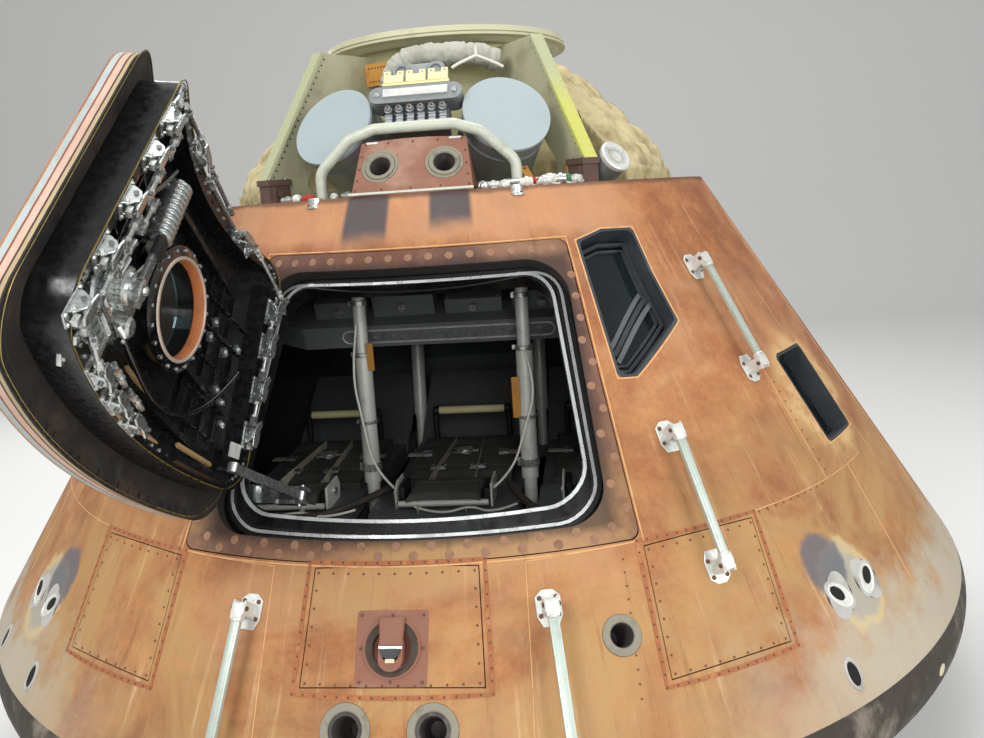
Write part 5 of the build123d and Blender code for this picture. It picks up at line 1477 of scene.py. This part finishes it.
# Tan rails on the black face: both ends and the depth
TAN_RAILS = ((0.063, -0.166, -0.077, -0.182, 0.096), (0.153, -0.3, -0.093, -0.278, 0.13),
             (-0.183, -0.247, -0.339, -0.238, 0.13))
for x0, y0, x1, y1, depth in TAN_RAILS:
    a, b = inside(x0, y0, depth).translation, inside(x1, y1, depth).translation
    place = Matrix.Translation((a + b) / 2) @ (b - a).to_track_quat("X", "Z").to_matrix().to_4x4()
    door_bits.block(place, (b - a).length, 0.01, 0.012, 0.002, rail_tan)
door_bits.block(inside(-0.41, -0.168, 0.138), 0.044, 0.04, 0.006, 0.0015, off_white)
# Small tabs, turned this way and that
for x, y in ((-0.302, 0.072), (-0.35, 0.107), (-0.222, 0.075), (-0.227, 0.122), (-0.315, -0.036),
             (-0.348, -0.057), (-0.375, -0.11), (0.423, -0.206), (0.35, -0.291), (0.312, -0.214),
             (0.401, -0.262)):
    tab = inside(x, y, 0.104, 37 * (x - y) * 100 % 90)
    door_bits.block(tab, 0.026, 0.016, 0.01, 0.002, latch_steel)
    door_bits.rod(tab @ moved(z=0.006), 0.005, 0.006, sides=8, finish=silver)
door_layers.done("door_edge_layers", "hatch", shift=swing)
door_bits.done("door_latch_work", "hatch", ("hatch_latches",), shift=swing)

# %% [markdown]
# The gearbox drives all latches. Plates with cut corners, one on the other, give the stepped look of its
# casting.

# %% Case of the gearbox
case = Part(latch_steel, silver, pin_grey, seal_black, off_white, glossy)
gear_seat = inside(0.3, -0.12, 0.084)


def rounded(wide, long, corner):
    """A rectangle with cut corners, as (x, y) pairs."""
    a, b, c = wide / 2, long / 2, corner
    return [(c - a, -b), (a - c, -b), (a, c - b), (a, b - c), (a - c, b), (c - a, b), (-a, b - c),
            (-a, c - b)]


case.plate(gear_seat, rounded(0.198, 0.128, 0.026), 0, 0.046, 0.005)
case.plate(gear_seat @ moved(0.004, 0.002, 0.046), rounded(0.17, 0.104, 0.022), 0, 0.016, 0.004)
case.plate(gear_seat @ moved(-0.02, -0.093), rounded(0.15, 0.06, 0.012), 0, 0.048, 0.004)
for k in range(6):
    case.block(gear_seat @ moved(-0.08 + 0.024 * k, -0.093, 0.05), 0.006, 0.05, 0.008, 0.002)
for k in range(7):
    case.block(gear_seat @ moved(0.101, -0.045 + 0.015 * k, 0.022), 0.006, 0.005, 0.036, 0.0015)
    case.block(gear_seat @ moved(-0.101, -0.045 + 0.015 * k, 0.022), 0.006, 0.005, 0.036, 0.0015)
COVER = 0.062
cover_bolt = ((0.0065, 0), (0.0062, 0.004), (0.004, 0.006), (0, 0.006))
for bx in (-0.078, -0.026, 0.03, 0.084):
    for by in (-0.046, 0.05):
        case.turn(gear_seat @ moved(bx, by, COVER), cover_bolt, 6, silver)
case.tell("gearbox case")

# %% [markdown]
# Over the case lie a toothed drive, springs and the folded handle. A spring is a row of thin rings on a
# pin.

# %% Drive, springs and handle
drive = gear_seat @ moved(-0.01, 0.02, COVER)
case.turn(drive, ((0, 0), (0.042, 0), (0.042, 0.01), (0.036, 0.014), (0.034, 0.02), (0.014, 0.024),
                  (0, 0.024)), 36)
for k in range(24):
    case.block(drive @ turned(15 * k) @ moved(0.0425, 0, 0.006) @ turned(20), 0.006, 0.006, 0.01, 0.001)
# A small round cap beside it, with six screws, and a pawl
small_cap = gear_seat @ moved(0.062, -0.026, COVER)
case.turn(small_cap, ((0, 0), (0.024, 0), (0.024, 0.012), (0.018, 0.018), (0, 0.018)), 28)
for turn in range(0, 360, 60):
    screw = small_cap @ moved(z=0.018) @ turned(turn) @ moved(0.013)
    case.rod(screw, 0.0028, 0.004, sides=8, finish=pin_grey)
pawl = [(-0.034, -0.008), (0.01, -0.012), (0.03, 0.0), (0.012, 0.012), (-0.032, 0.006)]
case.plate(gear_seat @ moved(0.048, 0.034, 0.064), pawl, 0, 0.01, 0.002, silver)
# Springs over the case
coil = ((0.0042, -0.0012), (0.0066, 0), (0.0042, 0.0012))
for sx, sy, length, turn in ((-0.066, 0.03, 0.05, 80), (0.04, -0.05, 0.044, 10), (-0.04, -0.092, 0.06, 0)):
    spring = gear_seat @ moved(sx, sy, 0.07) @ turned(turn) @ turned(90, "Y")
    for k in range(11):
        case.turn(spring @ moved(z=-length / 2 + length * k / 10), coil, 14, silver)
    case.rod(spring, 0.003, length + 0.016, sides=10, finish=pin_grey)
# The handle, folded flat
case.block(drive @ moved(0, 0.052, 0.03), 0.028, 0.15, 0.012, 0.005)
case.block(drive @ moved(0, 0.112, 0.034), 0.036, 0.052, 0.02, 0.008, seal_black)
case.turn(drive @ moved(z=0.02), ((0, 0), (0.024, 0), (0.024, 0.018), (0.018, 0.022), (0, 0.022)), 26)
case.turn(drive @ moved(z=0.042), ((0.009, 0), (0.009, 0.005), (0.006, 0.007), (0, 0.007)), 6, silver)
case.done("door_gearbox", "hatch", ("hatch_gearbox", "hatch_handle"), shift=swing)

# %% [markdown]
# The bottle that balances the door is one turned form with eleven ribs, held in two saddles.

# %% The gas bottle
bottle = Part(latch_steel, silver, pin_grey, off_white)
bottle_seat = inside(0.175, 0.18, 0.084)
profile = [(0, -0.092), (0.016, -0.092), (0.02, -0.086), (0.02, -0.08)]
for k in range(11):
    z = -0.074 + 0.0148 * k
    for radius, rise in ((0.0262, -0.0052), (0.031, -0.0032), (0.032, 0), (0.031, 0.0032), (0.0262, 0.0052)):
        profile.append((radius, z + rise))
profile += [(0.02, 0.082), (0.014, 0.088), (0.01, 0.096), (0, 0.096)]
bottle.turn(bottle_seat @ moved(z=0.04) @ turned(-90, "X"), tuple(profile), 32)
for y in (-0.052, 0.052):
    bottle.block(bottle_seat @ moved(0, y, 0.012), 0.052, 0.018, 0.024, 0.003)
    for side in (-1, 1):
        bottle.block(bottle_seat @ moved(side * 0.0345, y, 0.032), 0.005, 0.018, 0.04, 0.002)
        bolt = bottle_seat @ moved(side * 0.0385, y, 0.03) @ turned(90, "Y")
        bottle.rod(bolt, 0.005, 0.006, sides=8, finish=pin_grey)
bottle.block(bottle_seat @ moved(0, -0.104, 0.038), 0.026, 0.02, 0.026, 0.004, silver)
valve = bottle_seat @ moved(0.018, -0.104, 0.038) @ turned(90, "Y")
bottle.rod(valve, 0.006, 0.02, sides=12, finish=silver)
bottle.done("door_gas_bottle", "hatch", ("hatch_gas_bottle",), shift=swing)

# %% [markdown]
# The door's window has a bolted black ring and an orange-brown throat, all turned on the window's axis.

# %% Window seat of the door
seat = Part(glossy, tube_orange, pale_ring, latch_steel, seal_black)
window_seat = on_cone(0, 1.532)
seat.turn(window_seat, ((0.118, -0.147), (0.128, -0.1465), (0.152, -0.138), (0.152, -0.01), (0.139, -0.01)),
          72)
seat.turn(window_seat, ((0.139, -0.01), (0.134, -0.016), (0.1185, -0.046), (0.118, -0.061)), 72, tube_orange)
seat.turn(window_seat, ((0.118, -0.061), (0.118, -0.118)), 72, glossy)
seat.turn(window_seat, ((0.118, -0.118), (0.115, -0.121), (0.115, -0.142), (0.118, -0.147)), 72, tube_orange)
seat.turn(window_seat, ((0.128, -0.1455), (0.125, -0.15), (0.12, -0.15), (0.118, -0.146)), 72, pale_ring)
for k in range(20):
    spot = window_seat @ turned(18 * k + 9) @ moved(0.141, 0, -0.1415) @ turned(180, "Y")
    seat.turn(spot, ((0.0056, 0), (0.0054, 0.004), (0.003, 0.0055), (0, 0.0055)), 6, latch_steel)
seat.done("door_window_seat", "hatch", ("hatch_window_ring",), shift=swing)

# %% [markdown]
# Black hoses and thin bright lines cross the inner face. Each bend is given as x, y and depth.

# %% Hoses and lines of the door
HOSES = (((0.12, 0.09, 0.12), (0.17, 0.05, 0.15), (0.24, 0.0, 0.15), (0.27, -0.06, 0.14)),
         ((0.2, -0.14, 0.12), (0.1, -0.19, 0.14), (-0.05, -0.21, 0.13), (-0.2, -0.17, 0.12),
          (-0.3, -0.06, 0.13), (-0.36, 0.04, 0.12)),
         ((0.36, 0.02, 0.12), (0.34, 0.1, 0.14), (0.28, 0.17, 0.14), (0.22, 0.26, 0.13)))
LINES = (((0.157, 0.076, 0.122), (0.2, 0.03, 0.14), (0.25, -0.02, 0.15), (0.28, -0.06, 0.148)),
         ((0.38, -0.06, 0.15), (0.4, 0.01, 0.16), (0.385, 0.08, 0.155), (0.36, 0.14, 0.15)))
RUNS = (("door_hoses", glossy, 0.006, HOSES), ("door_lines", silver, 0.0032, LINES))
for name, finish, radius, bends in RUNS:
    routes = [[inside(*bend).translation for bend in route] for route in bends]
    pipes(name, finish, radius, routes, "hatch", shift=swing)

# %% [markdown]
# Through the hatchway one sees the couches, their harness and the struts that carry them, with the edge of
# the main console above. The struts are pale, so they stand out against the black cloth.

# %% The cabin
strut_pale = painted("strut_pale", (206, 208, 200), (150, 152, 146), 0.4, 0.2, scale=18.0, wear=0.4)
webbing = fabric("harness_webbing", paint(176, 170, 150), paint(120, 114, 98), weave=900.0, scale=20.0)
console_grey = painted("console_grey", (104, 108, 108), (72, 74, 74), 0.5, scale=22.0, wear=0.4)
dress(strut_pale, "couch_hangers")
dress(console_grey, "display_console")
cabin = Part(strut_pale, silver, webbing, seal_black, block_cream, tag_orange, pin_grey, console_grey,
             off_white)
COUCHES = (-0.59, 0.0, 0.59)
ear_shape = [(-0.05, -0.075), (0.03, -0.085), (0.055, -0.03), (0.05, 0.06), (-0.01, 0.085), (-0.05, 0.06)]
for x in COUCHES:
    # Headrest: a yoke with two side plates, pads, and a pivot bolt on each
    for side in (-1, 1):
        ear = moved(x + side * 0.166, -0.8, 1.02) @ turned(90 * side, "Y")
        cabin.plate(ear, ear_shape, 0, 0.008, 0.002, strut_pale)
        cabin.rod(ear @ moved(-0.01, 0.01, 0.01), 0.016, 0.01, finish=silver)
        cabin.block(ear @ moved(0.006, 0.0, -0.014), 0.066, 0.12, 0.022, 0.009, seal_black)
    bar, length = between((x - 0.16, -0.885, 1.006), (x + 0.16, -0.885, 1.006))
    cabin.rod(bar, 0.011, length, finish=strut_pale)
    # Shoulder straps with buckles, laid over the pad and down its head end
    for side in (-1, 1):
        for y0, z0, y1, z1 in ((-0.63, 1.004, -0.12, 1.004), (-0.93, 0.985, -0.64, 1.004)):
            end_reach = 0.06 if y1 > -0.2 else 0.085
            strap, length = between((x + side * 0.085, y0, z0), (x + side * end_reach, y1, z1))
            cabin.block(strap, 0.0022, 0.044, length, 0.0008, webbing)
        buckle = moved(x + side * 0.078, -0.5, 1.012)
        cabin.block(buckle, 0.062, 0.046, 0.01, 0.003, silver)
        cabin.block(buckle @ moved(z=0.006), 0.04, 0.02, 0.006, 0.002, pin_grey)
        cabin.block(moved(x + side * 0.205, -0.29, 1.0), 0.08, 0.044, 0.0024, 0.0008, webbing)
        cabin.block(moved(x + side * 0.16, -0.29, 1.003), 0.04, 0.056, 0.012, 0.003, silver)
    hub = moved(x, -0.29, 1.006)
    cabin.turn(hub, ((0, 0), (0.034, 0), (0.036, 0.006), (0.03, 0.016), (0, 0.018)), 28, silver)
    for turn in range(0, 360, 72):
        cabin.block(hub @ turned(turn) @ moved(0.04, 0, 0.006), 0.03, 0.02, 0.006, 0.002, silver)
# A cream bar crosses each couch, and the struts carry sleeves, clamps and tags
for x in COUCHES:
    bar, length = between((x - 0.15, -0.02, 1.12), (x + 0.15, -0.02, 1.12))
    cabin.rod(bar, 0.017, length, finish=block_cream)
    for side in (-1, 1):
        post, length = between((x + side * 0.165, -0.02, 0.946), (x + side * 0.165, -0.02, 1.132))
        cabin.rod(post, 0.012, length, finish=seal_black)
        cabin.rod(moved(x + side * 0.157, -0.02, 1.12) @ turned(90, "Y"), 0.02, 0.022, finish=seal_black)
# Sleeves: share of the strut's length, radius, height
SLEEVES = ((0.2, 0.037, 0.03), (0.345, 0.036, 0.014), (0.56, 0.035, 0.016), (0.72, 0.03, 0.02),
           (0.86, 0.03, 0.018))
for side in (-1, 1):
    foot, head = Vector((side * 0.295, -0.7, 0.852)), Vector((side * 0.298, -0.632, 2.022))
    for share, radius, height in SLEEVES:
        spot, reach, half = foot.lerp(head, share), Vector((0, 0, 0.01)), height / 2
        place, _ = between(spot - reach, spot + reach)
        inner = radius - 0.006
        sleeve = ((inner, -half), (radius, -half + 0.002), (radius, half - 0.002), (inner, half))
        cabin.turn(place, sleeve, 24, silver)
        cabin.block(place @ moved(radius, 0, 0), 0.016, 0.012, height, 0.002, silver)
cabin.block(moved(0.262, -0.7, 1.33) @ turned(12), 0.03, 0.003, 0.15, 0.001, tag_orange)
cabin.block(moved(-0.262, -0.69, 1.5) @ turned(-8), 0.026, 0.003, 0.1, 0.001, tag_orange)
cabin.tell("bars and struts")

# %% [markdown]
# The console's edge has a pale stadium line round a row of switch guards, laid out flat and leaned by a
# matrix.

# %% Edge of the console
LEAN_Y, LEAN_Z = 0.9439, 0.3304
CONSOLE = Vector((0, -0.25, 1.69))
END, BOW = 0.38, 0.026
edge_out = Vector((0, -LEAN_Y, -LEAN_Z))
console_edge = Matrix((Vector((1, 0, 0)), Vector((0, -LEAN_Z, LEAN_Y)), edge_out)).transposed().to_4x4()
console_edge.translation = CONSOLE + edge_out * 0.3005 + Vector((0, LEAN_Z, -LEAN_Y)) * 0.045
for y in (-BOW, BOW):
    cabin.block(console_edge @ moved(0, y, 0.0022), 2 * END, 0.006, 0.0044, 0.0015, off_white)
for side in (-1, 1):
    angles = [pi * k / 7 - pi / 2 for k in range(8)]
    bends = [console_edge @ Vector((side * (END + BOW * cos(a)), BOW * sin(a), 0.0022)) for a in angles]
    for start, end in zip(bends, bends[1:]):
        bow, length = between(start, end)
        cabin.block(bow, 0.006, 0.0044, length + 0.003, 0.001, off_white)
for k in range(21):
    x = -0.35 + 0.035 * k
    cabin.rod(console_edge @ moved(x, 0, 0.004), 0.0045, 0.014, sides=10, finish=silver)
    for y in (-0.01, 0.01):
        cabin.block(console_edge @ moved(x, y, 0.006), 0.016, 0.0025, 0.012, 0.001, silver)
# Plain boxes on the far side, seen only through the windows: middle x and y, width, length, height
BOXES = ((-0.42, -0.1, 0.2, 0.26, 0.07), (-0.17, -0.12, 0.24, 0.22, 0.09), (0.1, -0.11, 0.22, 0.24, 0.06),
         (0.36, -0.1, 0.22, 0.26, 0.08), (-0.28, 0.16, 0.3, 0.18, 0.07), (0.08, 0.16, 0.28, 0.2, 0.08),
         (0.4, 0.15, 0.2, 0.16, 0.06))
top_axes = (Vector((1, 0, 0)), Vector((0, LEAN_Y, LEAN_Z)), Vector((0, -LEAN_Z, LEAN_Y)))
console_top = Matrix(top_axes).transposed().to_4x4()
console_top.translation = CONSOLE
for x, y, wide, long, high in BOXES:
    cabin.block(console_top @ moved(x, y, high / 2), wide, long, high, 0.006, console_grey)
    for bx in (-1, 1):
        for by in (-1, 1):
            corner = console_top @ moved(x + bx * (wide / 2 - 0.014), y + by * (long / 2 - 0.014), high)
            cabin.rod(corner, 0.0045, 0.004, sides=8, finish=silver)
    plug = console_top @ moved(x, y - long / 2 - 0.012, high * 0.5) @ turned(90, "X")
    cabin.rod(plug, 0.016, 0.026, finish=silver)
cabin.done("cabin_fittings")
# Two thick hoses feed the couches, and thin leads hang beside the struts
pipes("cabin_hoses", wire_dark, 0.013, [
    [(-0.8, -0.62, 1.06), (-0.74, -0.86, 1.02), (-0.56, -1.0, 1.0), (-0.34, -0.96, 1.01),
     (-0.2, -0.76, 1.03)],
    [(0.22, -0.74, 1.03), (0.3, -0.98, 1.0), (0.52, -1.01, 1.0), (0.76, -0.86, 1.03), (0.84, -0.6, 1.08)]])
pipes("cabin_leads", wire_white, 0.0045, [
    [(-0.3, -0.7, 1.62), (-0.33, -0.72, 1.45), (-0.3, -0.74, 1.28), (-0.26, -0.8, 1.1),
     (-0.16, -0.84, 1.03)],
    [(0.3, -0.7, 1.5), (0.34, -0.73, 1.38), (0.29, -0.75, 1.22), (0.24, -0.8, 1.08), (0.16, -0.84, 1.03)],
    [(-0.1, -0.9, 1.0), (0.0, -0.96, 0.99), (0.1, -0.92, 1.01), (0.18, -0.98, 1.0), (0.26, -0.92, 1.01)],
    [(-0.3, -0.94, 1.01), (-0.4, -1.0, 1.0), (-0.5, -0.95, 1.02), (-0.6, -1.01, 1.01)]])

# %% [markdown]
# The windows lie deep in the wall. Stepped ledges run round each recess, and a curved trough catches the
# light at the foot of the forward pair. A thin pale edge shows where the window's frame meets the skin.

# %% Window recesses
recess = Part(slate, edge_tan, seal_black, screw_dark, panel_grey)
rendezvous = ((26.3, 1.893), (31.5, 1.921), (37.9, 1.917), (37.8, 1.78), (38.4, 1.628), (28.7, 1.499),
              (26.0, 1.503))
for side in (-1, 1):
    outline = [(side * az, z) for az, z in rendezvous]
    middle_az, middle_z = sum(az for az, _ in outline) / 7, sum(z for _, z in outline) / 7
    recess.ribbon(walk(outline, 0.03), 0.006, 0.0011, closed=True, finish=edge_tan)
    for share, depth, width in ((0.86, 0.058, 0.012), (0.78, 0.07, 0.01), (0.68, 0.08, 0.008)):
        ring = [(middle_az + (az - middle_az) * share, middle_z + (z - middle_z) * share)
                for az, z in outline]
        places = [place @ moved(z=-depth) for place in walk(ring, 0.03)]
        finish = slate if depth < 0.075 else seal_black
        recess.ribbon(places, width, 0.006, -0.004, closed=True, finish=finish)
    for k in range(5):
        steps = []
        for t in range(9):
            height = 1.56 + 0.022 * k + 0.05 * sin(pi * t / 16) + 0.012 * t
            steps.append(on_cone(side * (28.2 + 9.0 * t / 8), height, -0.06 - 0.007 * k))
        recess.ribbon(steps, 0.016, 0.005, -0.004, finish=slate if k % 2 else panel_grey)
# The side windows are laid out flat as rectangles and then dropped onto the cone
# Half width, half length, lift, width of the strip, finish
EDGES = ((0.127, 0.169, 0.0, 0.006, edge_tan), (0.105, 0.148, -0.06, 0.01, seal_black))
for side in (-1, 1):
    lower = on_cone(side * 59, 1.33)
    for half_wide, half_long, lift, width, finish in EDGES:
        corners = [(x * half_wide, y * half_long) for x, y in ((-1, -1), (1, -1), (1, 1), (-1, 1))]
        line = []
        for (x0, y0), (x1, y1) in zip(corners, corners[1:] + corners[:1]):
            line += [(x0 + (x1 - x0) * t / 10, y0 + (y1 - y0) * t / 10) for t in range(10)]
        places = []
        for x, y in line:
            point = lower @ Vector((x, y, 0))
            places.append(on_cone(degrees(atan2(point.x, -point.y)), point.z, lift - 0.0005))
        recess.ribbon(places, width, 0.0014, closed=True, finish=finish)
recess.done("window_ledges")

# %% [markdown]
# The roll engines sit in pairs. Each mouth is cut at a slant and shows as a bright oval on a bleached
# plate. A turned form squeezed by a matrix gives the oval at once.

# %% Mouths of the engines and scoops
bleached = painted("bleached_plate", (176, 174, 170), (112, 108, 104), 0.75, 0.1, scale=9.0, wear=0.7)
# Pale for the engine mouths; on the vent hood's lip it is a painted highlight
pale_mouth_and_highlight = painted("pale_mouth_and_highlight", (224, 224, 216), (160, 158, 150), 0.4, 0.4, scale=30.0, wear=0.4)
spot_pale = painted("spot_pale", (200, 190, 160), (150, 138, 110), 0.7, scale=30.0)
# The vent's bowl is painted dark brown as the shade that lies in it
painted_shade_bowl = painted("painted_shade_bowl", (58, 46, 36), (92, 80, 66), 0.75, scale=12.0, wear=0.6)
engines = Part(slate, painted_shade_bowl, bleached, pale_mouth_and_highlight, painted_shade_black, screw_dark, spot_pale, ring_grey,
               engine_brown)
lip = ((0.052, -0.002), (0.0515, 0.0018), (0.047, 0.0026), (0.042, 0.003))
tube = ((0.042, 0.003), (0.04, 0.0034), (0.038, 0.001), (0.037, -0.004))
for az_middle in (44.55, -44.55, 90.0, -90.0, 135.45, -135.45):
    for az in (az_middle - 2.35, az_middle + 2.35):
        mouth = on_cone(az, 0.866)
        backing = mouth @ turned(24 if az > az_middle else -24) @ Matrix.Diagonal((0.78, 1.16, 1, 1))
        engines.turn(backing, ((0.06, -0.002), (0.0585, 0.001), (0, 0.0013)), 44, bleached)
        slant = mouth @ turned(-48 if az > az_middle else 48)
        oval = slant @ Matrix.Diagonal((0.72, 1.16, 1, 1))
        engines.turn(oval, lip, 44, bleached)
        engines.turn(oval, tube, 44, pale_mouth_and_highlight)
        # The bright floor of the mouth slopes down into a throat at its upper end, a black disc of painted
        # shade
        throat = oval @ moved(0, 0.0095, 0.002)
        engines.turn(oval, ((0.04, 0.0014), (0, 0.002)), 44, pale_mouth_and_highlight)
        engines.turn(throat, ((0.025, 0.0002), (0.024, 0.0008), (0, 0.0008)), 36, painted_shade_black)
# Worn rings of the pitch engines, and three small scoops with pale oval lips round black openings of painted
# shade
ROUND_MOUTHS = ((-3.4, 0.787, 0.064), (3.4, 0.787, 0.064), (176.6, 0.787, 0.064), (183.4, 0.787, 0.064),
                (19.2, 0.93, 0.052))
for az, height, radius in ROUND_MOUTHS:
    ring = ((radius, -0.002), (radius - 0.001, 0.0022), (radius - 0.008, 0.0034), (radius - 0.018, 0.003),
            (radius - 0.0205, 0.0004))
    engines.turn(on_cone(az, height), ring, 48, ring_grey)
for az, height in ((-39.3, 0.705), (-50.6, 0.69), (39.3, 0.705)):
    scoop = on_cone(az, height) @ Matrix.Diagonal((0.72, 1.15, 1, 1))
    engines.turn(scoop, ((0.04, -0.001), (0.039, 0.0028), (0.031, 0.004), (0.028, 0.0005)), 36, bleached)
    # The scoop's opening is a black disc of painted shade
    engines.turn(scoop, ((0.028, 0.0012), (0.02, 0.001), (0, 0.0008)), 36, painted_shade_black)
engines.tell("rings and scoops")

# %% [markdown]
# The steam vent is a bowl painted dark as its shade, under a brown hood whose bright lip is a painted
# highlight, in low relief.

# %% The steam vent
vent = on_cone(0, 0.948)
for bx in (-0.08, 0, 0.08):
    for by in (-0.08, 0.08):
        engines.rivet(vent @ moved(bx, by, 0), 0.0042, 0.002, screw_dark)
for side in (-1, 1):
    engines.rivet(vent @ moved(side * 0.08, 0, 0), 0.0042, 0.002, screw_dark)
engines.turn(vent, ((0.0745, -0.001), (0.074, 0.0026), (0.07, 0.0034), (0.068, 0.0014)), 44, engine_brown)
# The bowl's rim and hollow, painted dark as shade
engines.turn(vent, ((0.068, 0.0014), (0.06, 0.0008), (0.05, -0.0006), (0.049, -0.004)), 44, painted_shade_bowl)
engines.turn(vent @ moved(z=-0.004), ((0.0495, 0), (0.048, -0.02), (0.035, -0.034), (0, -0.04)), 40,
             painted_shade_bowl)
hood = [(-0.033, 0.074), (-0.029, 0.004), (0.029, 0.004), (0.033, 0.074)]
engines.plate(vent, hood, -0.002, 0.0165, 0.004, engine_brown)
# The hood's bright lip is a painted highlight
engines.block(vent @ moved(0, 0.001, 0.014), 0.06, 0.007, 0.007, 0.0018, pale_mouth_and_highlight)
bend = [radians(a) for a in range(180, 361, 12)]
half_round = [(0.027 * cos(a), 0.026 * sin(a)) for a in bend]
engines.plate(vent @ moved(0, -0.002), half_round, 0.01, 0.018, 0.0015, slate)
engines.block(vent @ moved(0, -0.031, 0.015), 0.024, 0.01, 0.008, 0.0025, spot_pale)
# Pale oval plugs on the widest line of the dark lower edge
EDGE_CENTRE, EDGE_RADIUS, EDGE_HEIGHT = 1.7602, 0.1956, 0.5543
for az in (-52.0, -34.0, -20.0, 20.0, 34.0, 52.0, 75.0, -75.0, 110.0, -110.0, 150.0, -150.0):
    spot = turned(az) @ moved(0, -(EDGE_RADIUS + EDGE_CENTRE), EDGE_HEIGHT) @ turned(90, "X")
    oval = spot @ Matrix.Diagonal((1.0, 0.75, 1, 1))
    engines.turn(oval, ((0.024, -0.006), (0.0235, 0.001), (0.018, 0.0018), (0, 0.0018)), 26, spot_pale)
engines.done("engine_plates")

# %% Sizes, and the end
low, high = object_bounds()
